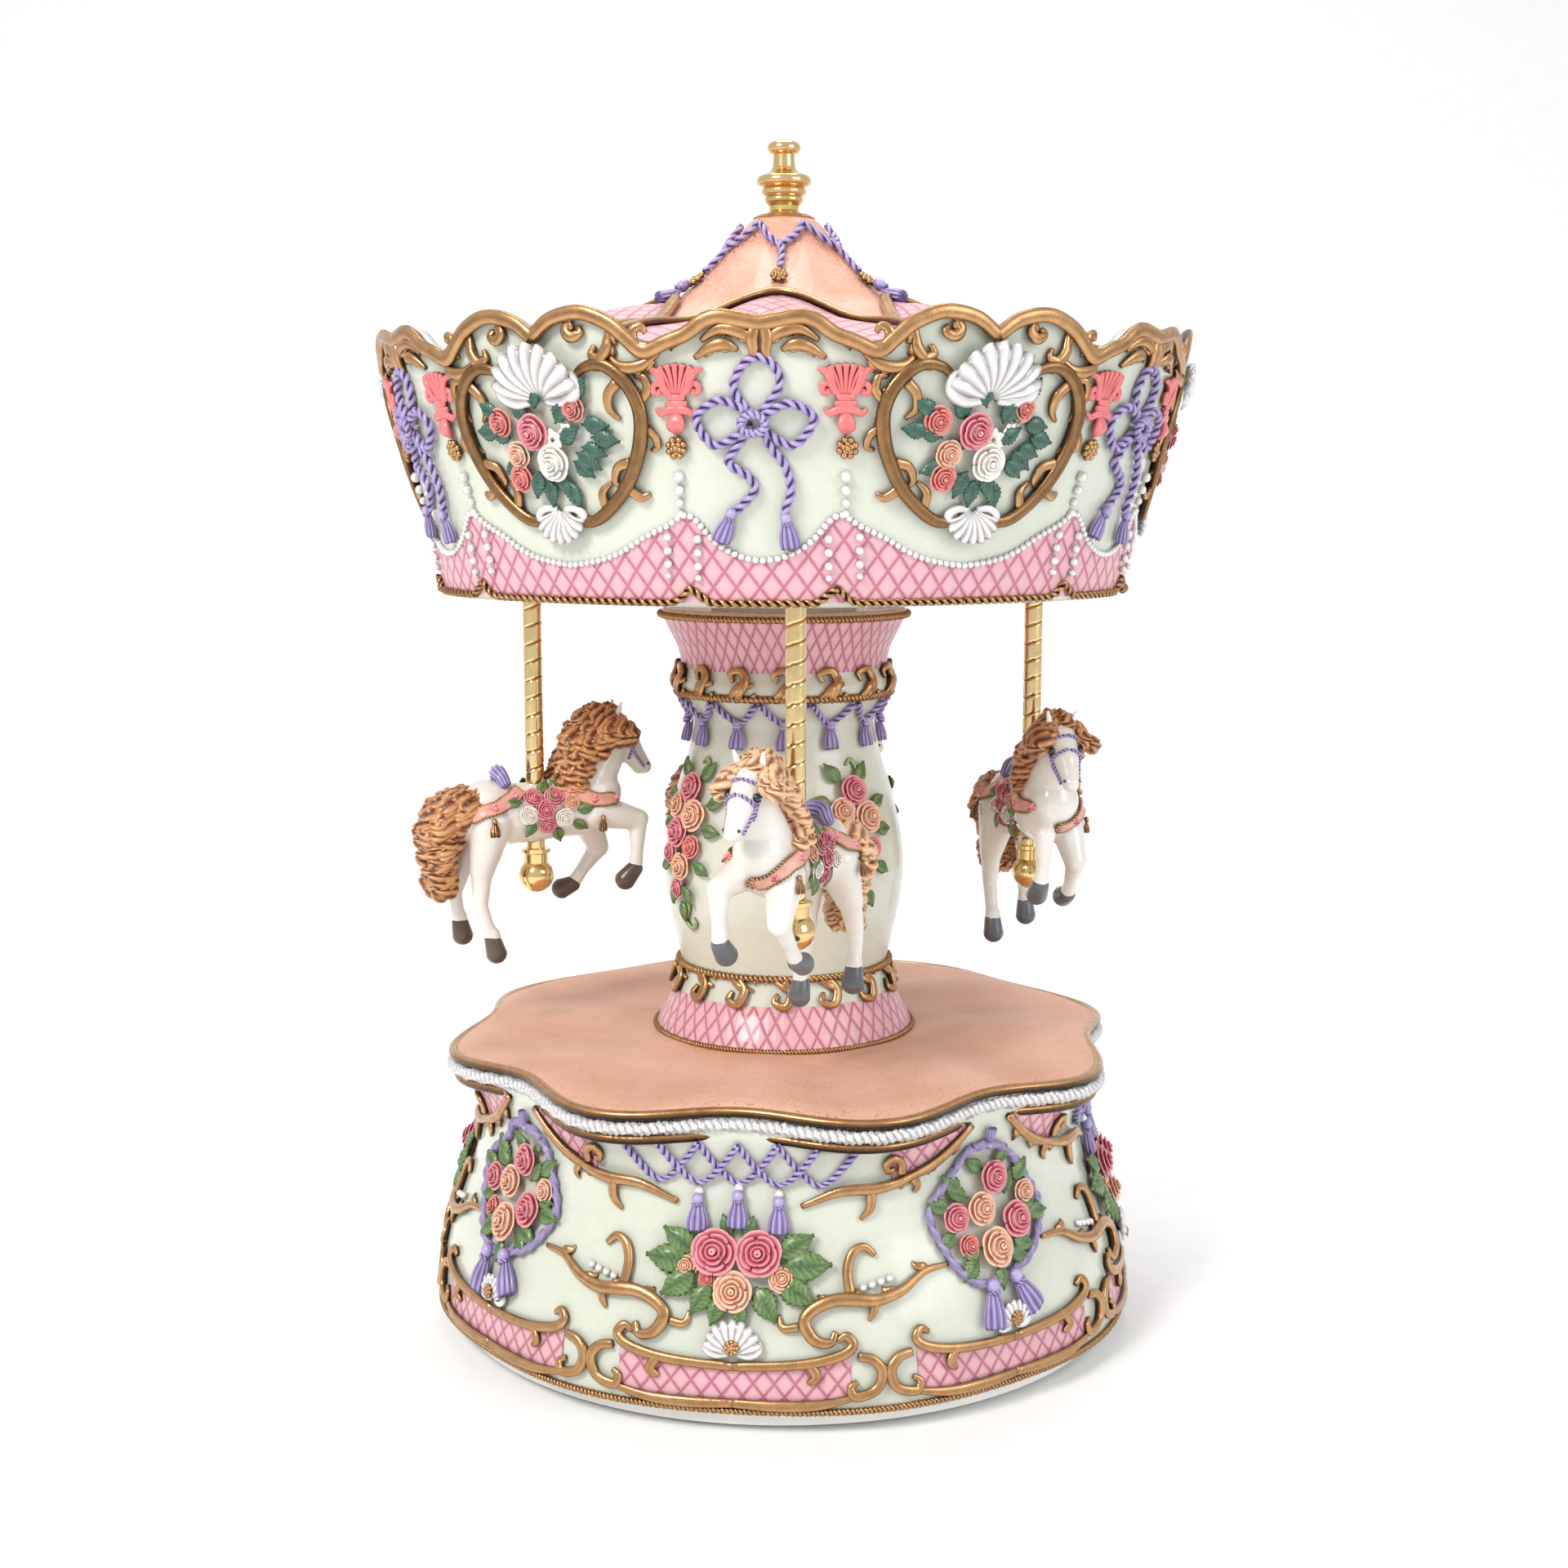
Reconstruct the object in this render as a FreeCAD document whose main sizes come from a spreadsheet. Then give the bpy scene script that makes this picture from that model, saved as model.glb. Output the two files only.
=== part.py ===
"""Carousel music box: a resin base and pillar, a turning canopy with four horses on brass
poles, and the wind-up movement and crank work that drive them.

Millimetres, +Z up, origin on the floor under the pillar's axis; -Y is the front.
Angles round the axis are counted from the front, positive towards +X.
"""

import FreeCAD, Part
import math
import os
import Sketcher

OUT_FOLDER = "parts"
LEAST_CUT = 1e-6

SIZES = (
    # alias, millimetres, degrees or a count, what it is
    ("overall_height", 304.8, "floor to the finial's tip"),
    ("base_lobes", 8, "panels round the base"),
    ("base_phase", -7.6, "angle of the base's front panel"),
    ("base_bottom_z", 5.0, "lower rim of the base casting"),
    ("base_foot_r", 91.3, "widest radius of the base"),
    ("base_waist_r", 79.5, "radius under the cornice"),
    ("deck_r", 84.0, "mean radius of the deck's edge"),
    ("deck_wave", 4.0, "how far the deck's lobes stand out"),
    ("deck_z", 75.0, "height of the deck"),
    ("deck_thickness", 9.0, "deck casting"),
    ("cavity_r", 80.0, "hollow of the base at its mouth"),
    ("cavity_top_r", 70.0, "hollow of the base under the deck"),
    ("boss_ring_r", 75.0, "circle of the cover's screw bosses"),
    ("boss_r", 6.5, "screw boss"),
    ("cover_r", 88.0, "bottom cover"),
    ("cover_floor_z", 1.2, "underside of the bottom cover"),
    ("cover_thickness", 2.5, "bottom cover"),
    ("cup_r", 38.0, "finger recess for the key"),
    ("cup_top_z", 22.0, "top of the recess, where the movement stands"),
    ("felt_r", 83.0, "outside of the felt ring"),
    ("felt_hole_r", 52.0, "inside of the felt ring"),
    ("screw_r", 1.4, "wood screw shank"),
    ("screw_head_r", 3.0, "wood screw head"),
    ("pillar_bore_r", 20.0, "hollow of the pillar"),
    ("pillar_foot_r", 34.6, "pillar's foot on the deck"),
    ("pillar_foot_z", 88.0, "top of the pillar's foot"),
    ("pillar_neck_r", 23.6, "pillar under its upper ring"),
    ("pillar_top_r", 32.2, "pillar's rim"),
    ("pillar_top_z", 186.0, "top of the pillar"),
    ("pillar_lid", 5.0, "thickness of the pillar's top"),
    ("ring_r", 29.0, "rings round the pillar"),
    ("belly_bend", 103.0, "radius of the pillar's swelling"),
    ("shaft_r", 2.5, "drive shaft"),
    ("running_gap", 0.08, "radial clearance of a turning shaft"),
    ("sleeve_r", 5.0, "fixed sleeve round the drive shaft"),
    ("sleeve_top_z", 206.0, "top of the fixed sleeve"),
    ("spacer_r", 19.0, "spacer disc on the pillar"),
    ("spacer_height", 3.5, "spacer disc on the pillar"),
    ("canopy_sides", 6, "panels round the canopy"),
    ("canopy_phase", -2.9, "angle of the canopy's front bow panel"),
    ("rim_r", 87.2, "lower rim of the canopy"),
    ("rim_z", 191.5, "lower rim of the canopy"),
    ("crown_r", 99.5, "upper rim of the canopy"),
    ("crown_z", 252.0, "upper rim of the canopy"),
    ("ceiling_r", 83.2, "ceiling plate"),
    ("ceiling_z", 194.0, "underside of the ceiling plate"),
    ("ceiling_thickness", 3.0, "ceiling plate"),
    ("ledge_r", 74.0, "ledge that the ceiling plate is screwed to"),
    ("roof_r", 94.8, "roof shell"),
    ("roof_z", 243.0, "roof shell's rim"),
    ("roof_peak_r", 9.0, "roof's flat top"),
    ("roof_peak_z", 285.0, "roof's flat top"),
    ("hub_r", 10.0, "hub between shaft and roof"),
    ("hub_top_z", 252.0, "hub's seat against the roof"),
    ("horses", 4, "horses and poles"),
    ("pole_phase", 2.4, "angle of the front pole"),
    ("pole_ring_r", 65.7, "circle of the poles"),
    ("pole_r", 2.45, "pole"),
    ("pole_foot_z", 118.4, "lower end of a pole at mid-travel"),
    ("pole_top_z", 203.0, "upper end of a pole at mid-travel"),
    ("ball_r", 4.6, "ball under a horse"),
    ("seat_z", 122.2, "top of the collar that a horse rests on, at mid-travel"),
    ("crank_throw", 4.0, "half of a horse's travel"),
    ("crank_rest", 1.0, "how far a horse stands from mid-travel at rest"),
    ("crank_z", 209.375, "axis of the crank shafts"),
    ("crank_shaft_r", 1.5, "crank shaft"),
    ("crown_teeth", 36, "teeth of the fixed crown gear"),
    ("crown_pitch_r", 13.5, "pitch radius of the fixed crown gear"),
    ("crank_teeth", 9, "teeth of a crank pinion"),
    ("bedplate_thickness", 3.0, "movement bedplate"),
    ("arbor_r", 3.0, "winding arbor"),
    ("barrel_r", 14.0, "spring barrel"),
    ("barrel_z", 27.0, "underside of the spring barrel"),
    ("barrel_height", 14.0, "spring barrel without its teeth"),
    ("barrel_teeth", 40, "crown teeth of the spring barrel"),
    ("barrel_pitch_r", 12.5, "pitch radius of the barrel's teeth"),
    ("drum_teeth", 10, "pinion of the pinned cylinder"),
    ("drum_r", 6.5, "pinned cylinder"),
    ("drum_start", 17.0, "near end of the pinned cylinder"),
    ("drum_length", 17.0, "pinned cylinder"),
    ("notes", 18, "teeth of the comb"),
    ("wheel_teeth", 36, "great wheel of the cylinder"),
    ("wheel_pitch_r", 9.0, "great wheel of the cylinder"),
    ("governor_teeth", 9, "governor pinion"),
    ("worm_wheel_r", 3.6, "governor worm wheel"),
    ("worm_r", 1.6, "governor worm"),
    ("bolt_gap", 0.1, "clearance of a wire crank in its bearing"),
)

document = FreeCAD.newDocument("CarouselMusicBox")
sheet = document.addObject("Spreadsheet::Sheet", "Dims")
for row, (alias, amount, note) in enumerate(SIZES, start=1):
    sheet.set(f"A{row}", alias)
    sheet.set(f"B{row}", str(amount))
    sheet.setAlias(f"B{row}", alias)
    sheet.set(f"C{row}", note)
document.recompute()

sub_parts = []


def vec(x=0.0, y=0.0, z=0.0):
    """A vector from up to three numbers."""
    return FreeCAD.Vector(x, y, z)


def value(expression):
    """The number that an expression over the sheet stands for."""
    return float(sheet.evalExpression(str(expression)))


def dim(alias):
    """A driving dimension as a number, for shapes that Part's functions make."""
    return float(sheet.get(alias))


def about_axis(angle):
    """The rotation that turns the front, -Y, round +Z by an angle in degrees."""
    return FreeCAD.Rotation(vec(0, 0, 1), angle)


def round_position(radius, angle, z=0.0):
    """A point on a circle round the axis, its angle counted from the front."""
    turn = math.radians(angle)
    return vec(radius * math.sin(turn), -radius * math.cos(turn), z)


def keep(item, label):
    """Names an object as a sub-part, to be checked and exported."""
    item.Label = label
    sub_parts.append(item)
    return item


def origin_plane(body, role):
    """One of a body's own origin planes."""
    return next(f for f in body.Origin.OriginFeatures if f.Role == role)


def add_sketch(body, name, role="XZ_Plane", offset="0"):
    """A sketch on one of the body's origin planes, moved along its normal by an expression."""
    sketch = body.newObject("Sketcher::SketchObject", name)
    sketch.AttachmentSupport = (origin_plane(body, role), [""])
    sketch.MapMode = "FlatFace"
    sketch.setExpression(".AttachmentOffset.Base.z", str(offset))
    return sketch


def arc_between(start, end, bend):
    """The arc from start to end; a positive bend radius bulges to the right of the way along."""
    chord = end - start
    radius = abs(bend)
    sagitta = radius - math.sqrt(radius**2 - (chord.Length / 2) ** 2)
    right = vec(chord.y, -chord.x).normalize()
    middle = (start + end) / 2 + right * math.copysign(sagitta, bend)
    return Part.Arc(start, middle, end)


def draw_outline(sketch, outline):
    """A closed outline of (x, y) or (x, y, bend) expressions, each vertex tied to the sheet."""
    corners = [vec(value(point[0]), value(point[1])) for point in outline]
    joints = []
    for index, point in enumerate(outline):
        start = corners[index]
        end = corners[(index + 1) % len(corners)]
        if len(point) == 3:
            edge = sketch.addGeometry(arc_between(start, end, value(point[2])))
            first = 1 if (sketch.getPoint(edge, 1) - start).Length < 1e-6 else 2
            rule = sketch.addConstraint(
                Sketcher.Constraint("Radius", edge, abs(value(point[2]))))
            sketch.setExpression(f"Constraints[{rule}]", f"abs({point[2]})")
        else:
            edge = sketch.addGeometry(Part.LineSegment(start, end))
            first = 1
        joints.append((edge, first, 3 - first))
    for index, (edge, first, last) in enumerate(joints):
        next_edge, next_first, _ = joints[(index + 1) % len(joints)]
        sketch.addConstraint(
            Sketcher.Constraint("Coincident", edge, last, next_edge, next_first))
        for kind, expression in zip(("DistanceX", "DistanceY"), outline[index]):
            rule = sketch.addConstraint(
                Sketcher.Constraint(kind, -1, 1, edge, first, value(expression)))
            sketch.setExpression(f"Constraints[{rule}]", str(expression))
    return sketch


def draw_circle(sketch, x, y, radius):
    """A circle whose centre and radius are expressions."""
    circle = Part.Circle(vec(value(x), value(y)), vec(0, 0, 1), value(radius))
    edge = sketch.addGeometry(circle)
    for kind, expression in (("DistanceX", x), ("DistanceY", y)):
        rule = sketch.addConstraint(
            Sketcher.Constraint(kind, -1, 1, edge, 3, value(expression)))
        sketch.setExpression(f"Constraints[{rule}]", str(expression))
    rule = sketch.addConstraint(Sketcher.Constraint("Radius", edge, value(radius)))
    sketch.setExpression(f"Constraints[{rule}]", str(radius))
    return sketch


def new_body(label):
    """An empty PartDesign body."""
    return document.addObject("PartDesign::Body", label)


def revolved(label, outline):
    """A body turned round +Z from an outline of (radius, height) expressions."""
    body = new_body(label)
    sketch = add_sketch(body, label + "_profile")
    draw_outline(sketch, outline)
    turning = body.newObject("PartDesign::Revolution", label + "_turning")
    turning.Profile = sketch
    turning.ReferenceAxis = (sketch, ["V_Axis"])
    turning.Angle = 360
    body.Tip = turning
    return body


def pad(body, name, outlines, base_z, height, role="XY_Plane"):
    """Adds a pad of closed outlines or (x, y, radius) circles to a body."""
    sketch = add_sketch(body, name + "_sketch", role, base_z)
    for outline in outlines:
        if isinstance(outline, tuple):
            draw_circle(sketch, *outline)
        else:
            draw_outline(sketch, outline)
    feature = body.newObject("PartDesign::Pad", name)
    feature.Profile = sketch
    feature.setExpression("Length", str(height))
    body.Tip = feature
    return feature


def drill(body, name, circles, role="XY_Plane"):
    """Cuts (x, y, radius) circles right through a body, both ways from an origin plane."""
    document.recompute()
    before = body.Tip.Shape.Volume
    sketch = add_sketch(body, name + "_sketch", role)
    for circle in circles:
        draw_circle(sketch, *circle)
    feature = body.newObject("PartDesign::Pocket", name)
    feature.Profile = sketch
    feature.SideType = "Symmetric"
    feature.Length = 4 * dim("overall_height")
    document.recompute()
    if feature.Shape.Volume >= before * (1 - LEAST_CUT):
        raise RuntimeError(f"{name} cut nothing")
    body.Tip = feature
    return feature


def box_outline(low_x, low_y, high_x, high_y):
    """A rectangle's outline from four expressions."""
    return [(low_x, low_y), (high_x, low_y), (high_x, high_y), (low_x, high_y)]


def feature(label, shape, placement=None):
    """A Part::Feature for a shape that Part's own functions make."""
    item = document.addObject("Part::Feature", label)
    item.Shape = shape
    if placement is not None:
        item.Placement = placement
    return item


def boolean(kind, name, base, tool):
    """A Part::Cut or Part::Fuse of two document objects."""
    item = document.addObject(kind, name)
    item.Base = base
    item.Tool = tool
    return item


# ---------------------------------------------------------------- lobed castings


def lobed_wire(radius, wave, lobes, phase, z):
    """A closed ripple of a circle: its radius is smallest at the phase angle."""
    count = 6 * lobes
    points = []
    for step in range(count):
        angle = 360.0 * step / count
        ripple = -wave * math.cos(math.radians(lobes * (angle - phase)))
        points.append(round_position(radius + ripple, angle, z))
    curve = Part.BSplineCurve()
    curve.interpolate(points, PeriodicFlag=True)
    return Part.Wire(curve.toShape())


def lobed_loft(name, levels, lobes, phase):
    """A solid through ripples given as (height, radius, wave)."""
    sections = []
    for index, (z, radius, wave) in enumerate(levels):
        wire = lobed_wire(radius, wave, lobes, phase, z)
        sections.append(feature(f"{name}_level_{index + 1}", wire))
    loft = document.addObject("Part::Loft", name)
    loft.Sections = sections
    loft.Solid = True
    return loft


def make_base_casting():
    """The hollow base: eight-lobed wall, cornice and deck, with four screw bosses."""
    lobes = int(dim("base_lobes"))
    phase = dim("base_phase")
    waist = dim("base_waist_r")
    foot = dim("base_foot_r")
    levels = (
        (dim("base_bottom_z"), foot - 1.3, 0.5),
        (10.0, foot, 0.5),
        (24.0, foot - 2.3, 0.7),
        (44.0, waist + 2.5, 0.9),
        (58.0, waist, 1.2),
        (66.5, waist + 1.5, 1.6),
        (dim("deck_z"), dim("deck_r"), dim("deck_wave")),
    )
    outside = lobed_loft("base_outside", levels, lobes, phase)
    ceiling = "Dims.deck_z - Dims.deck_thickness"
    cavity = revolved("base_cavity", [
        ("0", "Dims.base_bottom_z - 1"),
        ("Dims.cavity_r", "Dims.base_bottom_z - 1"),
        ("Dims.cavity_r", "Dims.base_bottom_z + 20"),
        ("Dims.cavity_top_r + 3", "Dims.base_bottom_z + 42"),
        ("Dims.cavity_top_r", ceiling),
        ("0", ceiling),
    ])
    shell = boolean("Part::Cut", "base_shell", outside, cavity)
    bosses = new_body("base_bosses")
    circles = boss_circles("Dims.boss_r")
    pad(bosses, "boss_pad", circles, "Dims.base_bottom_z", "18")
    bossed = boolean("Part::Fuse", "base_bossed", shell, bosses)
    holes = new_body("base_holes")
    pad(holes, "screw_holes", boss_circles("Dims.screw_r"), "0", "18")
    pad(holes, "bush_hole", [("0", "0", "8")], "Dims.deck_z - 20", "40")
    return keep(boolean("Part::Cut", "base_cut", bossed, holes), "base_casting")


def boss_circles(radius):
    """Four circles on the cover's screw circle, 45 degrees off the front."""
    circles = []
    for quarter in range(4):
        angle = 45 + 90 * quarter
        along = math.sin(math.radians(angle))
        ahead = -math.cos(math.radians(angle))
        circles.append((f"Dims.boss_ring_r * {along:.6f}",
                        f"Dims.boss_ring_r * {ahead:.6f}", radius))
    return circles


def make_bottom():
    """Felt ring, moulded bottom cover with its finger recess, and the cover's screws."""
    keep(revolved("felt", [
        ("Dims.felt_hole_r", "0"),
        ("Dims.felt_r", "0"),
        ("Dims.felt_r", "Dims.cover_floor_z"),
        ("Dims.felt_hole_r", "Dims.cover_floor_z"),
    ]), "felt_ring")
    floor = "Dims.cover_floor_z"
    cover = revolved("cover", [
        ("Dims.cup_r", floor),
        ("Dims.cover_r", floor),
        ("Dims.cover_r", "Dims.base_bottom_z"),
        ("Dims.cover_r - 2.5", "Dims.base_bottom_z"),
        ("Dims.cover_r - 2.5", "Dims.cover_floor_z + Dims.cover_thickness"),
        ("Dims.cup_r + 2", "Dims.cover_floor_z + Dims.cover_thickness"),
        ("Dims.cup_r + 2", "Dims.cup_top_z"),
        ("Dims.arbor_r + 0.6", "Dims.cup_top_z"),
        ("Dims.arbor_r + 0.6", "Dims.cup_top_z - 2"),
        ("Dims.cup_r", "Dims.cup_top_z - 2"),
    ])
    pad(cover, "cover_stand_offs", boss_circles("Dims.boss_r"),
        "Dims.cover_floor_z + 1", "Dims.base_bottom_z - Dims.cover_floor_z - 1")
    drill(cover, "cover_screw_holes", boss_circles("Dims.screw_r"))
    keep(cover, "bottom_cover")
    screws = []
    for quarter in range(4):
        spot = round_position(dim("boss_ring_r"), 45 + 90 * quarter, dim("cover_floor_z"))
        screws.append(Part.makeCylinder(dim("screw_r"), 14, spot))
    keep(feature("cover_screw_group", Part.makeCompound(screws)), "cover_screws")


# ---------------------------------------------------------------- pillar


def make_pillar():
    """The hollow baluster pillar, the bush at its foot and the fixed pieces on its top."""
    keep(revolved("pillar", [
        ("Dims.pillar_bore_r", "Dims.deck_z"),
        ("Dims.pillar_foot_r", "Dims.deck_z", "-24"),
        ("Dims.ring_r - 0.6", "Dims.pillar_foot_z"),
        ("Dims.ring_r + 0.4", "Dims.pillar_foot_z + 1"),
        ("Dims.ring_r", "Dims.pillar_foot_z + 4.5"),
        ("Dims.pillar_neck_r + 1.6", "Dims.pillar_foot_z + 5", "Dims.belly_bend"),
        ("Dims.pillar_neck_r", "Dims.pillar_top_z - 36"),
        ("Dims.pillar_neck_r + 1.2", "Dims.pillar_top_z - 25"),
        ("Dims.ring_r", "Dims.pillar_top_z - 24"),
        ("Dims.ring_r + 0.2", "Dims.pillar_top_z - 20"),
        ("Dims.ring_r - 1.5", "Dims.pillar_top_z - 19.5", "-55"),
        ("Dims.pillar_top_r", "Dims.pillar_top_z"),
        ("Dims.sleeve_r", "Dims.pillar_top_z"),
        ("Dims.sleeve_r", "Dims.pillar_top_z - Dims.pillar_lid"),
        ("Dims.pillar_bore_r", "Dims.pillar_top_z - Dims.pillar_lid"),
    ]), "pillar_casting")
    keep(revolved("spacer", [
        ("Dims.sleeve_r", "Dims.pillar_top_z"),
        ("Dims.spacer_r", "Dims.pillar_top_z"),
        ("Dims.spacer_r", "Dims.pillar_top_z + Dims.spacer_height - 1"),
        ("Dims.spacer_r - 1", "Dims.pillar_top_z + Dims.spacer_height"),
        ("Dims.sleeve_r", "Dims.pillar_top_z + Dims.spacer_height"),
    ]), "spacer_disc")
    bore = "Dims.shaft_r + Dims.running_gap"
    lid = "Dims.pillar_top_z - Dims.pillar_lid"
    keep(revolved("sleeve", [
        (bore, lid + " - 6"),
        ("Dims.sleeve_r + 5", lid + " - 6"),
        ("Dims.sleeve_r + 5", lid),
        ("Dims.sleeve_r", lid),
        ("Dims.sleeve_r", "Dims.sleeve_top_z"),
        (bore, "Dims.sleeve_top_z"),
    ]), "centre_sleeve")
    keep(revolved("bush", [
        (bore, "Dims.deck_z - 15"),
        ("11", "Dims.deck_z - 15"),
        ("11", "Dims.deck_z - Dims.deck_thickness"),
        ("8", "Dims.deck_z - Dims.deck_thickness"),
        ("8", "Dims.deck_z + 3"),
        (bore, "Dims.deck_z + 3"),
    ]), "lower_bush")


# ---------------------------------------------------------------- gears


def crown_teeth(count, pitch_r, face, thickness, root_z, tip_z, first_angle):
    """Straight radial teeth of a crown gear that stand up from root_z to tip_z."""
    teeth = []
    for tooth in range(count):
        block = Part.makeBox(thickness, face, tip_z - root_z,
                             vec(-thickness / 2, -pitch_r - face / 2, root_z))
        block.rotate(vec(), vec(0, 0, 1), first_angle + 360.0 * tooth / count)
        teeth.append(block)
    return teeth


def toothed_disc(count, pitch_r, module, thickness, bore_r, width, first_angle):
    """A spur gear round +X from x = 0 to width; angle 0 is +Y, 90 is +Z."""
    tip_r = pitch_r + 0.9 * module
    root_r = pitch_r - 1.15 * module
    corners = []
    for tooth in range(count):
        middle = math.radians(first_angle + 360.0 * tooth / count)
        corners.append((middle - thickness * 0.75 / root_r, root_r))
        corners.append((middle - thickness * 0.3 / tip_r, tip_r))
        corners.append((middle + thickness * 0.3 / tip_r, tip_r))
        corners.append((middle + thickness * 0.75 / root_r, root_r))
    points = [vec(0, r * math.cos(a), r * math.sin(a)) for a, r in corners]
    disc = Part.Face(Part.makePolygon(points + points[:1])).extrude(vec(width))
    if bore_r:
        disc = disc.cut(Part.makeCylinder(bore_r, width, vec(), vec(1, 0, 0)))
    return disc


def make_fixed_crown():
    """The crown gear that stands still on the sleeve inside the canopy."""
    pitch_z = dim("crank_z") - crank_pitch_r()
    blank = revolved("crown_blank", [
        ("Dims.sleeve_r", "Dims.sleeve_top_z - 5"),
        ("Dims.crown_pitch_r + 3", "Dims.sleeve_top_z - 5"),
        ("Dims.crown_pitch_r + 3", "Dims.sleeve_top_z - 1.5"),
        ("Dims.crown_pitch_r - 2.6", "Dims.sleeve_top_z - 1.5"),
        ("Dims.crown_pitch_r - 2.6", "Dims.sleeve_top_z - 2.5"),
        ("Dims.sleeve_r", "Dims.sleeve_top_z - 2.5"),
    ])
    document.recompute()
    pitch = 360.0 / dim("crown_teeth")
    teeth = crown_teeth(int(dim("crown_teeth")), dim("crown_pitch_r"), 4.4, 0.65,
                        dim("sleeve_top_z") - 2, pitch_z + 0.5,
                        dim("pole_phase") + pitch / 2)
    crown = blank.Shape.multiFuse(teeth).removeSplitter()
    return keep(feature("crown_gear", crown), "fixed_crown_gear")


def crank_pitch_r():
    """Pitch radius of a crank pinion."""
    return dim("crown_pitch_r") * dim("crank_teeth") / dim("crown_teeth")


# ---------------------------------------------------------------- canopy


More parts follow.
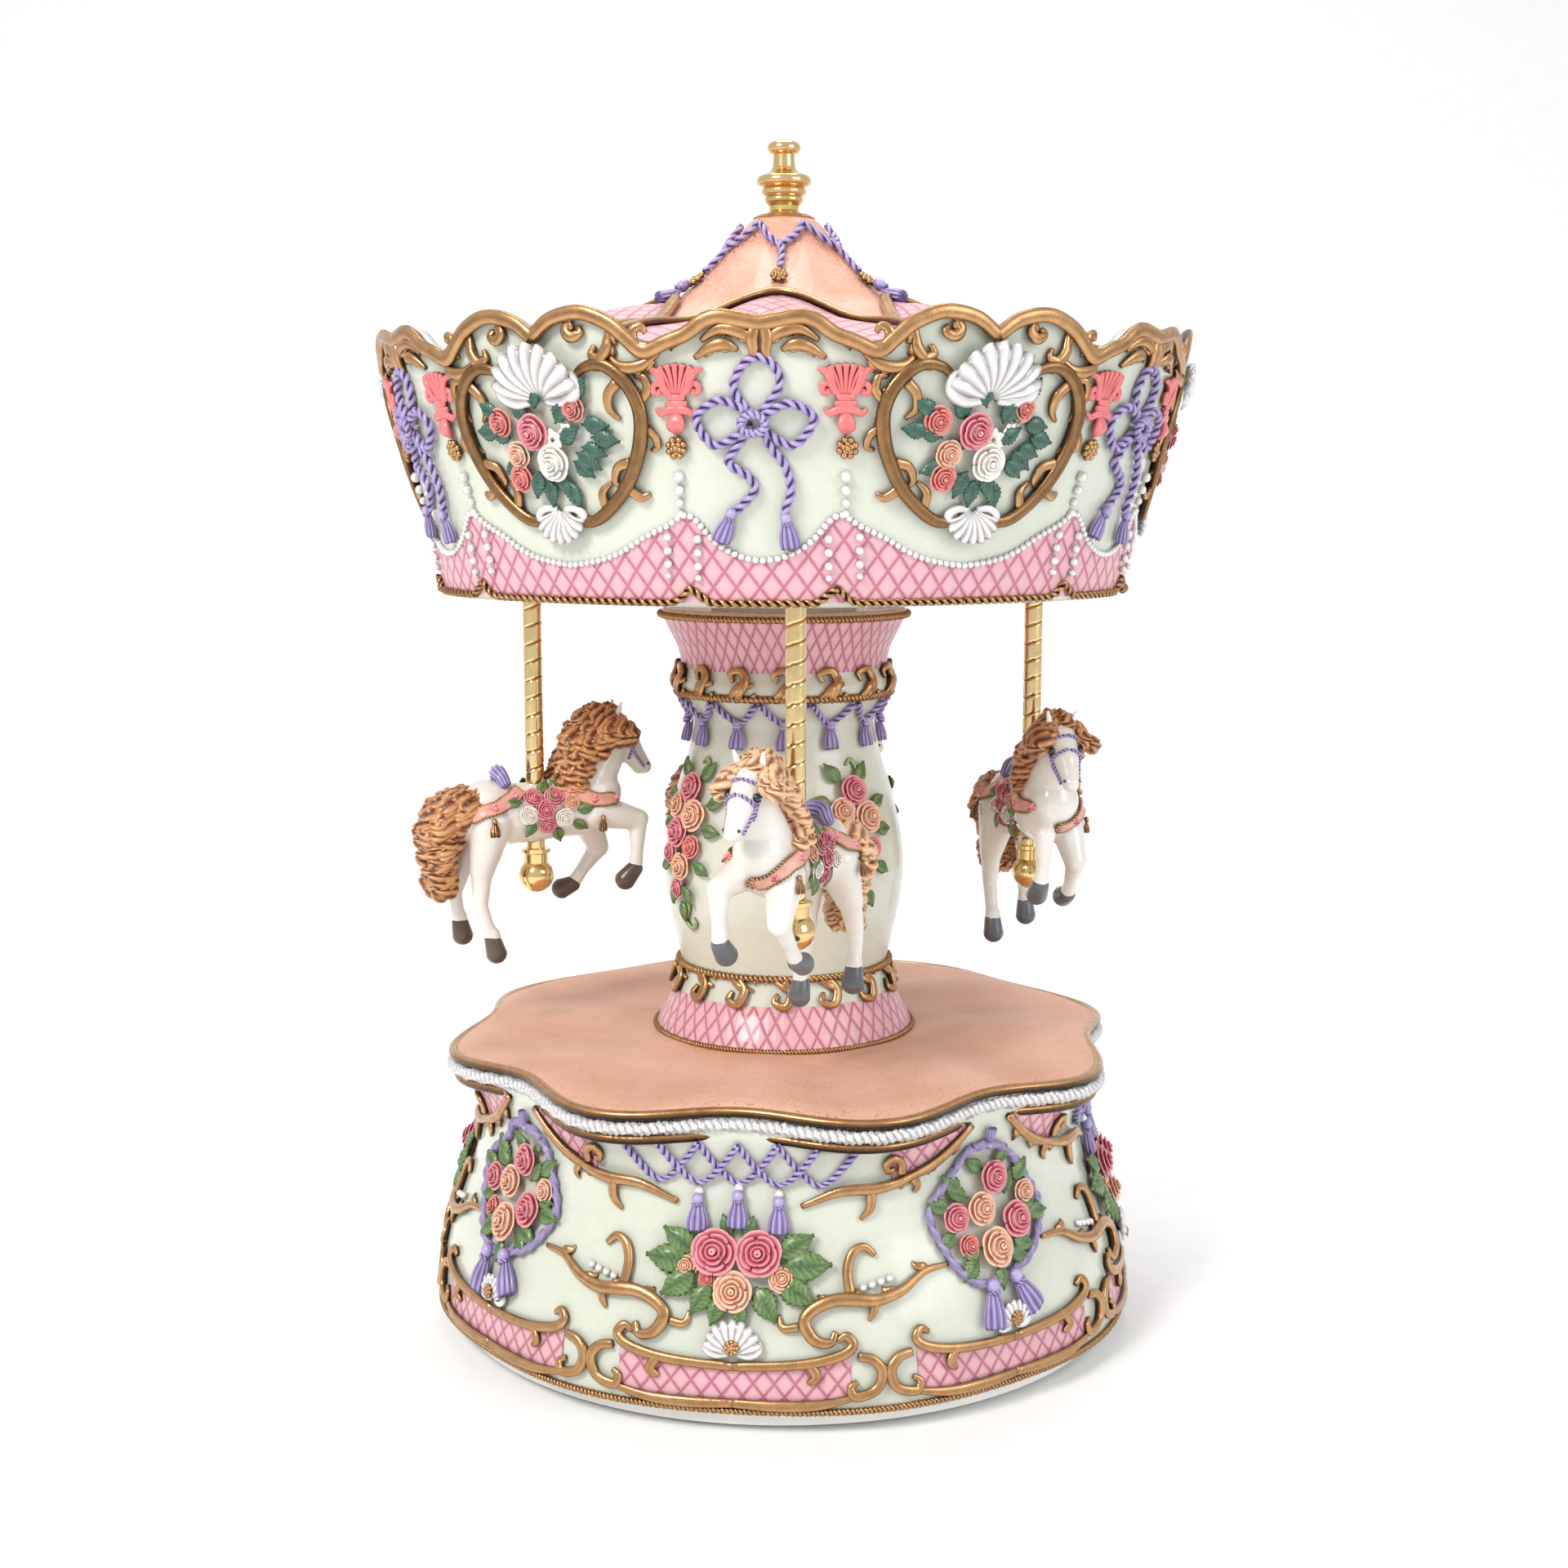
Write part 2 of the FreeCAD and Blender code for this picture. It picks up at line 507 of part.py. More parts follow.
def make_canopy():
    """Rounding board, ceiling plate, roof, hub, finial, drive shaft and their fixings."""
    sides = int(dim("canopy_sides"))
    phase = dim("canopy_phase")
    rim_r = dim("rim_r")
    rim_z = dim("rim_z")
    crown_r = dim("crown_r")
    crown_z = dim("crown_z")
    height = crown_z - rim_z
    levels = (
        (rim_z, rim_r, 1.2),
        (rim_z + 0.12 * height, rim_r + 0.10 * (crown_r - rim_r), 1.2),
        (rim_z + 0.55 * height, rim_r + 0.52 * (crown_r - rim_r), 1.0),
        (rim_z + 0.82 * height, rim_r + 0.82 * (crown_r - rim_r), 1.0),
        (crown_z, crown_r, 1.2),
    )
    outside = lobed_loft("fascia_outside", levels, sides, phase + 180.0 / sides)
    ceiling_top = "Dims.ceiling_z + Dims.ceiling_thickness"
    hollow = revolved("fascia_hollow", [
        ("0", "Dims.rim_z - 1"),
        ("Dims.ceiling_r", "Dims.rim_z - 1"),
        ("Dims.ceiling_r", ceiling_top),
        ("Dims.ledge_r", ceiling_top),
        ("Dims.ledge_r", ceiling_top + " + 4"),
        ("Dims.ledge_r + 10", ceiling_top + " + 16"),
        ("Dims.roof_r - 5", "Dims.roof_z - 4"),
        ("Dims.roof_r - 5", "Dims.roof_z"),
        ("Dims.roof_r", "Dims.roof_z"),
        ("Dims.roof_r", "Dims.crown_z + 1"),
        ("0", "Dims.crown_z + 1"),
    ])
    shell = boolean("Part::Cut", "fascia_shell", outside, hollow)
    holes = new_body("fascia_holes")
    pad(holes, "ledge_screw_holes", ceiling_screw_circles("1.2"), ceiling_top, "4")
    keep(boolean("Part::Cut", "fascia_drilled", shell, holes), "canopy_rounding_board")

    plate = revolved("plate", [
        ("Dims.sleeve_r + 2", "Dims.ceiling_z"),
        ("Dims.ceiling_r", "Dims.ceiling_z"),
        ("Dims.ceiling_r", ceiling_top),
        ("Dims.sleeve_r + 2", ceiling_top),
    ])
    drill(plate, "plate_pole_holes", pole_circles("Dims.pole_r + 1.6"))
    drill(plate, "plate_screw_holes", ceiling_screw_circles("1.2"))
    keep(plate, "ceiling_plate")
    screws = []
    for side in range(sides):
        spot = round_position(dim("ledge_r") + 4.6, phase + 360.0 * side / sides)
        head = Part.makeCylinder(2.4, 1.4, spot + vec(0, 0, dim("ceiling_z") - 1.4))
        shank = Part.makeCylinder(1.2, dim("ceiling_thickness") + 4.0,
                                  spot + vec(0, 0, dim("ceiling_z")))
        screws.append(head.fuse(shank).removeSplitter())
    keep(feature("ceiling_screw_group", Part.makeCompound(screws)), "ceiling_screws")

    keep(revolved("roof", [
        ("0", "Dims.hub_top_z"),
        ("16", "Dims.hub_top_z"),
        ("30", "Dims.hub_top_z + 4"),
        ("60", "Dims.hub_top_z - 2"),
        ("Dims.roof_r - 8", "Dims.roof_z"),
        ("Dims.roof_r", "Dims.roof_z"),
        ("Dims.roof_r", "Dims.roof_z + 3"),
        ("70", "Dims.hub_top_z + 4"),
        ("45", "Dims.hub_top_z + 8.5", "-45"),
        ("15", "Dims.roof_peak_z - 9"),
        ("Dims.roof_peak_r", "Dims.roof_peak_z"),
        ("2", "Dims.roof_peak_z"),
        ("2", "Dims.roof_peak_z - 12"),
        ("0", "Dims.roof_peak_z - 12"),
    ]), "roof_shell")
    keep(revolved("hub", [
        ("Dims.shaft_r", "Dims.hub_top_z - 16"),
        ("Dims.hub_r - 4", "Dims.hub_top_z - 16"),
        ("Dims.hub_r - 4", "Dims.hub_top_z - 4"),
        ("Dims.hub_r + 5", "Dims.hub_top_z - 4"),
        ("Dims.hub_r + 5", "Dims.hub_top_z"),
        ("Dims.shaft_r", "Dims.hub_top_z"),
    ]), "canopy_hub")
    shaft = document.addObject("Part::Cylinder", "shaft")
    shaft.setExpression("Radius", "Dims.shaft_r")
    start = "Dims.barrel_z + Dims.barrel_height"
    shaft.setExpression("Height", f"Dims.hub_top_z - ({start})")
    shaft.setExpression(".Placement.Base.z", start)
    keep(shaft, "drive_shaft")
    keep(revolved("washer", [
        ("2", "Dims.roof_peak_z"),
        ("7.6", "Dims.roof_peak_z"),
        ("8", "Dims.roof_peak_z + 0.6"),
        ("6.6", "Dims.roof_peak_z + 1.4"),
        ("2", "Dims.roof_peak_z + 1.4"),
    ]), "finial_washer")
    seat = "Dims.roof_peak_z + 1.4"
    top = "Dims.overall_height"
    keep(revolved("finial", [
        ("0", "Dims.roof_peak_z - 11"),
        ("2", "Dims.roof_peak_z - 11"),
        ("2", seat),
        ("5.2", seat),
        ("3.7", seat + " + 1.2"),
        ("3.9", seat + " + 2.2"),
        ("4.8", seat + " + 3.2", "1"),
        ("4.6", seat + " + 4.6"),
        ("5.5", seat + " + 5", "1.2"),
        ("5.2", seat + " + 6.8"),
        ("6.5", seat + " + 7.2", "1.5"),
        ("6.1", seat + " + 9.8", "-4"),
        ("2.9", seat + " + 12"),
        ("2.7", top + " - 3.4"),
        ("3.7", top + " - 3", "1.6"),
        ("3.3", top + " - 0.3"),
        ("2.4", top),
        ("0", top),
    ]), "finial")


def pole_circles(radius):
    """One circle for each pole."""
    circles = []
    for horse in range(int(dim("horses"))):
        spot = round_position(1.0, pole_angle(horse))
        circles.append((f"Dims.pole_ring_r * {spot.x:.6f}",
                        f"Dims.pole_ring_r * {spot.y:.6f}", radius))
    return circles


def ceiling_screw_circles(radius):
    """One circle for each screw of the ceiling plate."""
    circles = []
    sides = int(dim("canopy_sides"))
    for side in range(sides):
        spot = round_position(1.0, dim("canopy_phase") + 360.0 * side / sides)
        circles.append((f"(Dims.ledge_r + 4.6) * {spot.x:.6f}",
                        f"(Dims.ledge_r + 4.6) * {spot.y:.6f}", radius))
    return circles


def pole_angle(horse):
    """The angle of a pole, counted from the front."""
    return dim("pole_phase") + 360.0 * horse / dim("horses")


def rest_lift(horse):
    """How far a horse stands from mid-travel at rest: front and back low, sides high."""
    return dim("crank_rest") * (-1 if horse % 2 == 0 else 1)


# ---------------------------------------------------------------- cranks and poles


def outward_frame(horse, z=0.0):
    """The placement whose +X points outward along a pole's radius."""
    return FreeCAD.Placement(vec(0, 0, z), about_axis(pole_angle(horse) - 90))


def make_crank_work():
    """Bearings and bushings of the canopy, and four cranks that roll round the crown gear."""
    axis_z = dim("crank_z")
    floor_z = dim("ceiling_z") + dim("ceiling_thickness")
    shaft_r = dim("crank_shaft_r")
    ring_r = dim("pole_ring_r")
    bearings = []
    bushings = []
    for horse in range(int(dim("horses"))):
        frame = outward_frame(horse)
        for near in (24.0, 49.0):
            block = Part.makeBox(3.0, 9.0, axis_z + 4 - floor_z, vec(near, -4.5, floor_z))
            bore = Part.makeCylinder(shaft_r + dim("bolt_gap"), 5.0,
                                     vec(near - 1, 0, axis_z), vec(1, 0, 0))
            block = block.cut(bore)
            block.Placement = frame
            bearings.append(block)
        low = Part.makeCylinder(dim("pole_r") + 1.6, 4.6, vec(ring_r, 0, floor_z - 3.6))
        collar = Part.makeCylinder(dim("pole_r") + 3.0, 0.9, vec(ring_r, 0, floor_z))
        bore = Part.makeCylinder(dim("pole_r") + dim("running_gap"), 9.0,
                                 vec(ring_r, 0, floor_z - 5))
        bushing = low.fuse(collar).cut(bore).removeSplitter()
        bushing.Placement = frame
        bushings.append(bushing)
    keep(feature("bearing_group", Part.makeCompound(bearings)), "crank_bearings")
    keep(feature("bushing_group", Part.makeCompound(bushings)), "pole_bushings")

    pinion = toothed_disc(int(dim("crank_teeth")), crank_pitch_r(), 0.75, 0.65,
                          shaft_r, 2.0, -90.0)
    for horse in range(int(dim("horses"))):
        frame = outward_frame(horse, axis_z)
        placed = frame.multiply(FreeCAD.Placement(
            vec(dim("crown_pitch_r") - 1.0), FreeCAD.Rotation()))
        keep(feature(f"pinion_{horse + 1}", pinion, placed), f"crank_pinion_{horse + 1}")
        keep(feature(f"crank_{horse + 1}", crank_shape(horse), frame),
             f"crank_shaft_{horse + 1}")


def crank_shape(horse):
    """A crank along +X: shaft, disc and a pin set at the horse's height at rest."""
    shaft_r = dim("crank_shaft_r")
    disc_x = dim("pole_ring_r") - 7.5
    throw = dim("crank_throw")
    lift = rest_lift(horse)
    aside = math.copysign(math.sqrt(throw**2 - lift**2), -lift)
    shaft = Part.makeCylinder(shaft_r, disc_x - 10.0, vec(10.0), vec(1, 0, 0))
    disc = Part.makeCylinder(throw + 2.2, 1.8, vec(disc_x), vec(1, 0, 0))
    pin = Part.makeCylinder(1.4, 1.7, vec(disc_x + 1.8, aside, lift), vec(1, 0, 0))
    return shaft.fuse([disc, pin]).removeSplitter()


def make_poles():
    """Four brass poles, each with a slotted yoke on top and a ball under its horse."""
    axis = "Dims.crank_z - Dims.pole_top_z"
    for horse in range(int(dim("horses"))):
        number = horse + 1
        spot = round_position(dim("pole_ring_r"), pole_angle(horse), rest_lift(horse))
        placement = FreeCAD.Placement(spot, about_axis(pole_angle(horse)))
        pole = revolved(f"pole_body_{number}", [
            ("0", "Dims.pole_foot_z"),
            ("Dims.pole_r", "Dims.pole_foot_z"),
            ("Dims.pole_r", "Dims.pole_top_z"),
            ("0", "Dims.pole_top_z"),
        ])
        yoke = new_body(f"yoke_body_{number}")
        pad(yoke, f"yoke_block_{number}", [
            box_outline("-7", "Dims.pole_top_z", "7", f"Dims.pole_top_z + 2 * ({axis})"),
            box_outline("-5.6", "Dims.crank_z - 1.8", "5.6", "Dims.crank_z + 1.8"),
        ], "-3.2", "6.4", "XZ_Plane")
        ball = revolved(f"ball_body_{number}", [
            ("0", "Dims.pole_foot_z - 2 * Dims.ball_r + 1.2", "Dims.ball_r"),
            ("Dims.ball_r", "Dims.pole_foot_z - Dims.ball_r + 1.2", "Dims.ball_r"),
            ("Dims.pole_r + 0.6", "Dims.pole_foot_z - Dims.ball_r + 1.2 + "
             "sqrt(pow(Dims.ball_r; 2) - pow(Dims.pole_r + 0.6; 2))"),
            ("Dims.pole_r + 0.6", "Dims.seat_z - 1.4"),
            ("Dims.pole_r + 1.4", "Dims.seat_z - 1"),
            ("Dims.pole_r + 1.4", "Dims.seat_z"),
            ("Dims.pole_r", "Dims.seat_z"),
            ("Dims.pole_r", "Dims.pole_foot_z"),
            ("0", "Dims.pole_foot_z"),
        ])
        for body, label in ((pole, "pole"), (yoke, "pole_yoke"), (ball, "pole_ball")):
            body.Placement = placement
            keep(body, f"{label}_{number}")


# ---------------------------------------------------------------- horses


def limb(start, start_r, end, end_r):
    """A round-ended tapering bar between two points, as one turned solid."""
    axis = end - start
    length = axis.Length
    lean = (start_r - end_r) / length
    rise = math.sqrt(1 - lean**2)
    first = vec(start_r * rise, 0, start_r * lean)
    last = vec(end_r * rise, 0, length + end_r * lean)
    half = math.radians(45)
    low_turn = math.asin(lean) / 2 - half
    high_turn = math.asin(lean) / 2 + half
    low_middle = vec(start_r * math.cos(low_turn), 0, start_r * math.sin(low_turn))
    high_middle = vec(end_r * math.cos(high_turn), 0,
                      length + end_r * math.sin(high_turn))
    bottom = vec(0, 0, -start_r)
    top = vec(0, 0, length + end_r)
    wire = Part.Wire([
        Part.Arc(bottom, low_middle, first).toShape(),
        Part.LineSegment(first, last).toShape(),
        Part.Arc(last, high_middle, top).toShape(),
        Part.LineSegment(top, bottom).toShape(),
    ])
    solid = Part.Face(wire).revolve(vec(), vec(0, 0, 1), 360)
    solid.Placement = FreeCAD.Placement(start, FreeCAD.Rotation(vec(0, 0, 1), axis))
    return solid


HORSE_LIMBS = (
    # from (x, y, z), radius, to (x, y, z), radius; +X is ahead, the pole is at x = y = 0
    ("barrel", (-12, 0, 131.5), 8.6, (12, 0, 133.5), 8.8),
    ("chest", (11, 0, 133.0), 8.4, (16, 0, 136.5), 7.2),
    ("neck", (14, 0, 138.0), 7.2, (21, 0, 151.0), 5.0),
    ("head", (22, 0, 153.0), 4.6, (29.5, 0, 143.5), 2.7),
    ("mane", (10, 0, 146.0), 5.0, (18, 0, 157.0), 5.6),
    ("forelock", (18, 0, 157.5), 5.0, (24, 0, 157.0), 3.6),
    ("tail_root", (-18, 0, 136.0), 4.2, (-25, 0, 133.5), 5.6),
    ("tail", (-25, 0, 133.0), 5.8, (-26.5, 0, 116.5), 5.2),
    ("left_ear", (22, 3.2, 156.5), 1.5, (23.5, 4.2, 161.0), 0.7),
    ("right_ear", (22, -3.2, 156.5), 1.5, (23.5, -4.2, 161.0), 0.7),
    ("right_haunch", (-13, -4.2, 130.0), 6.0, (-16, -5.4, 118.0), 3.4),
    ("left_haunch", (-13, 4.2, 130.0), 6.0, (-18, 5.4, 119.5), 3.4),
    ("right_gaskin", (-16, -5.4, 118.0), 3.1, (-13.5, -5.6, 99.5), 2.3),
    ("left_gaskin", (-18, 5.4, 119.5), 3.1, (-19.5, 5.8, 102.5), 2.3),
    ("right_hoof", (-13.5, -5.6, 99.0), 2.9, (-12.6, -5.6, 96.6), 3.2),
    ("left_hoof", (-19.5, 5.8, 102.0), 2.9, (-18.8, 5.8, 99.8), 3.2),
    ("right_shoulder", (15, -4.6, 132.0), 5.0, (27.0, -5.6, 129.0), 3.2),
    ("left_shoulder", (14, 4.6, 131.0), 5.0, (19.0, 5.8, 120.0), 3.3),
    ("right_cannon", (27.0, -5.6, 129.0), 3.0, (25.5, -6.0, 115.5), 2.2),
    ("left_cannon", (19.0, 5.8, 120.0), 3.0, (11.5, 6.4, 110.5), 2.2),
    ("right_fore_hoof", (25.5, -6.0, 115.5), 2.6, (22.6, -6.0, 113.0), 3.0),
    ("left_fore_hoof", (11.5, 6.4, 110.5), 2.6, (8.6, 6.4, 109.6), 3.0),
    ("cantle", (-9.5, -2.5, 140.5), 2.2, (-9.5, 2.5, 140.5), 2.2),
)

# where each horse looks at rest, in degrees from +X towards +Y, read off the photo
HORSE_HEADINGS = (-118.0, -77.0, 0.0, 22.0)


def make_horses():
    """Four leaping horses, free to swivel on their poles; each heads its own way at rest."""
    lumps = []
    for _, start, start_r, end, end_r in HORSE_LIMBS:
        lumps.append(limb(vec(*start), start_r, vec(*end), end_r))
    figure = lumps[0].multiFuse(lumps[1:])
    bore = Part.makeCylinder(dim("pole_r") + dim("running_gap"), 60.0,
                             vec(0, 0, dim("pole_foot_z") - 5))
    figure = figure.cut(bore)
    seat_z = dim("seat_z") + 0.1
    clear = Part.makeCylinder(dim("ball_r") + 0.5, 18.0, vec(0, 0, seat_z - 18.0))
    figure = figure.cut(clear)
    for horse, heading in enumerate(HORSE_HEADINGS):
        spot = round_position(dim("pole_ring_r"), pole_angle(horse), rest_lift(horse))
        turn = about_axis(heading)
        keep(feature(f"figure_{horse + 1}", figure, FreeCAD.Placement(spot, turn)),
             f"horse_{horse + 1}")


# ---------------------------------------------------------------- wind-up movement


def make_movement_frame():
    """Bedplate, screws, comb and the brackets that carry cylinder and governor."""
    top_z = dim("cup_top_z") + dim("bedplate_thickness")
    axis_z = drum_axis_z()
    bedplate = new_body("bedplate_body")
    pad(bedplate, "bedplate_pad",
        [box_outline("-18", "-24", "44", "24"), ("0", "0", "Dims.arbor_r + 0.1")],
        "Dims.cup_top_z", "Dims.bedplate_thickness")
    drill(bedplate, "bedplate_screw_holes", MOVEMENT_SCREWS)
    pad(bedplate, "comb_pedestal", [box_outline("16", "15", "35", "23")],
        "Dims.cup_top_z + Dims.bedplate_thickness", str(axis_z - 0.6 - top_z))
    keep(bedplate, "movement_bedplate")
    screws = []
    for x, y, _ in MOVEMENT_SCREWS:
        spot = vec(float(x), float(y), dim("cup_top_z"))
        shank = Part.makeCylinder(1.3, dim("bedplate_thickness"), spot)
        head = Part.makeCylinder(2.6, 1.6, spot + vec(0, 0, dim("bedplate_thickness")))
        screws.append(shank.fuse(head).removeSplitter())
    keep(feature("movement_screw_group", Part.makeCompound(screws)), "movement_screws")

    comb_z = axis_z - 0.6
    comb = Part.makeBox(19.0, 15.7, 1.2, vec(16.0, 7.3, comb_z))
    step = dim("drum_length") / dim("notes")
    slots = []
    for note in range(1, int(dim("notes"))):
        slots.append(Part.makeBox(0.3, 8.0, 3.0,
                                  vec(dim("drum_start") + note * step - 0.15, 6.3,
                                      comb_z - 1)))
    slots.append(Part.makeBox(0.8, 8.0, 3.0, vec(15.9, 6.3, comb_z - 1)))
    slots.append(Part.makeBox(0.9, 8.0, 3.0, vec(34.2, 6.3, comb_z - 1)))
    keep(feature("comb_plate", comb.cut(slots)), "comb")
    heads = []
    for x in (20.0, 25.5, 31.0):
        heads.append(Part.makeCylinder(1.9, 1.3, vec(x, 19.0, comb_z + 1.2)))
    keep(feature("comb_screw_group", Part.makeCompound(heads)), "comb_screws")

    brackets = []
    for x in (15.0, 39.6):
        post = Part.makeBox(1.4, 7.0, axis_z + 2.5 - top_z, vec(x, -3.5, top_z))
        if x > dim("drum_start"):
            post = post.fuse(Part.makeBox(1.4, 18.0, axis_z + 2.5 - top_z,
                                          vec(x, -14.5, top_z))).removeSplitter()
        brackets.append(post)
    brackets.append(Part.makeBox(1.4, 6.0, axis_z + 2.5 - top_z, vec(23.0, -14.25, top_z)))
    bores = [
        Part.makeCylinder(1.3, 40.0, vec(10.0, 0, axis_z), vec(1, 0, 0)),
        Part.makeCylinder(0.9, 40.0, vec(10.0, -governor_reach(), axis_z), vec(1, 0, 0)),
    ]
    drilled = [post.cut(bores) for post in brackets]
    keep(feature("bracket_group", Part.makeCompound(drilled)), "arbor_brackets")

    worm = worm_spot()
    frame = Part.makeBox(3.0, 5.0, 26.6, vec(worm.x + 6.0, worm.y - 2.5, top_z))
    for arm_z in (top_z + 9.0, top_z + 24.6):
        frame = frame.fuse(Part.makeBox(8.5, 5.0, 2.0, vec(worm.x - 2.5, worm.y - 2.5,
                                                           arm_z)))
    frame = frame.cut(Part.makeCylinder(0.6, 30.0, worm + vec(0, 0, top_z)))
    keep(feature("governor_bracket", frame.removeSplitter()), "governor_frame")


MOVEMENT_SCREWS = (("-14", "-19", "1.3"), ("-14", "19", "1.3"), ("38", "18", "1.3"))


def drum_axis_z():
    """Height of the cylinder's axis: its pinion meshes with the barrel's crown teeth."""
    pinion_r = dim("barrel_pitch_r") * dim("drum_teeth") / dim("barrel_teeth")
    return dim("barrel_z") + dim("barrel_height") + 1.0 + pinion_r


def governor_reach():
    """Distance from the cylinder's axis to the governor arbor."""
    return dim("wheel_pitch_r") * (1 + dim("governor_teeth") / dim("wheel_teeth"))


def worm_spot():
    """Where the worm's axis stands, in plan."""
    return vec(27.75, -governor_reach() - dim("worm_wheel_r") - dim("worm_r") - 0.8)


def make_spring_drive():
    """Key, arbor, mainspring and the barrel that turns the drive shaft."""
    barrel = revolved("barrel_blank", [
        ("Dims.arbor_r + 0.1", "Dims.barrel_z"),
        ("Dims.barrel_r", "Dims.barrel_z"),
        ("Dims.barrel_r", "Dims.barrel_z + Dims.barrel_height"),
        ("Dims.shaft_r + 2.5", "Dims.barrel_z + Dims.barrel_height"),
        ("Dims.shaft_r + 2.5", "Dims.barrel_z + Dims.barrel_height + 6"),
        ("Dims.shaft_r", "Dims.barrel_z + Dims.barrel_height + 6"),
        ("Dims.shaft_r", "Dims.barrel_z + Dims.barrel_height"),
        ("0", "Dims.barrel_z + Dims.barrel_height"),
        ("0", "Dims.barrel_z + Dims.barrel_height - 1.2"),
        ("Dims.barrel_r - 1.2", "Dims.barrel_z + Dims.barrel_height - 1.2"),
        ("Dims.barrel_r - 1.2", "Dims.barrel_z + 1.2"),
        ("Dims.arbor_r + 0.1", "Dims.barrel_z + 1.2"),
    ])
    document.recompute()
    top_z = dim("barrel_z") + dim("barrel_height")
    teeth = crown_teeth(int(dim("barrel_teeth")), dim("barrel_pitch_r"), 2.2, 0.55,
                        top_z - 0.5, top_z + 1.4,
                        90 + 180.0 / dim("barrel_teeth"))
    keep(feature("barrel", barrel.Shape.multiFuse(teeth).removeSplitter()),
         "spring_barrel")
    keep(feature("spring", spiral_spring()), "mainspring")
    keep(revolved("arbor", [
        ("0", "Dims.cup_top_z - 14"),
        ("Dims.arbor_r", "Dims.cup_top_z - 14"),
        ("Dims.arbor_r", "Dims.barrel_z + Dims.barrel_height - 2.5"),
        ("0", "Dims.barrel_z + Dims.barrel_height - 2.5"),
    ]), "winding_arbor")
    key = new_body("key_body")
    pad(key, "key_hub", [("0", "0", "4.6"), ("0", "0", "Dims.arbor_r")],
        "Dims.cup_top_z - 14", "10.5")
    pad(key, "key_web", [("0", "0", "4.6")], "Dims.cup_top_z - 18", "4")
    pad(key, "key_wings", [
        [("-3.5", "Dims.cup_top_z - 8"), ("-7", "Dims.cup_top_z - 7", "-5.5"),
         ("-13", "Dims.cup_top_z - 12.5", "-5.5"), ("-7", "Dims.cup_top_z - 18"),
         ("7", "Dims.cup_top_z - 18", "-5.5"), ("13", "Dims.cup_top_z - 12.5", "-5.5"),
         ("7", "Dims.cup_top_z - 7"), ("3.5", "Dims.cup_top_z - 8"),
         ("3.5", "Dims.cup_top_z - 14"), ("-3.5", "Dims.cup_top_z - 14")],
    ], "-1", "2", "XZ_Plane")
    keep(key, "winding_key")


def spiral_spring():
    """A flat coiled spring, its outer end near the barrel wall."""
    turns = 4
    inner_r = dim("arbor_r") + 0.5
    outer_r = dim("barrel_r") - 2.2
    strip = 0.35
    steps = 24 * turns

    def edge(offset):
        points = []
        for step in range(steps + 1):
            share = step / steps
            angle = 360.0 * turns * share
            points.append(round_position(inner_r + (outer_r - inner_r) * share + offset,
                                         angle, dim("barrel_z") + 1.6))
        curve = Part.BSplineCurve()
        curve.interpolate(points)
        return curve.toShape()

    inside = edge(0.0)
    outside = edge(strip)
    ends = [Part.LineSegment(inside.Vertexes[i].Point, outside.Vertexes[i].Point).toShape()
            for i in (0, 1)]
    loop = Part.Wire(Part.__sortEdges__([inside, ends[1], outside, ends[0]]))
    return Part.Face(loop).extrude(vec(0, 0, dim("barrel_height") - 3.2))


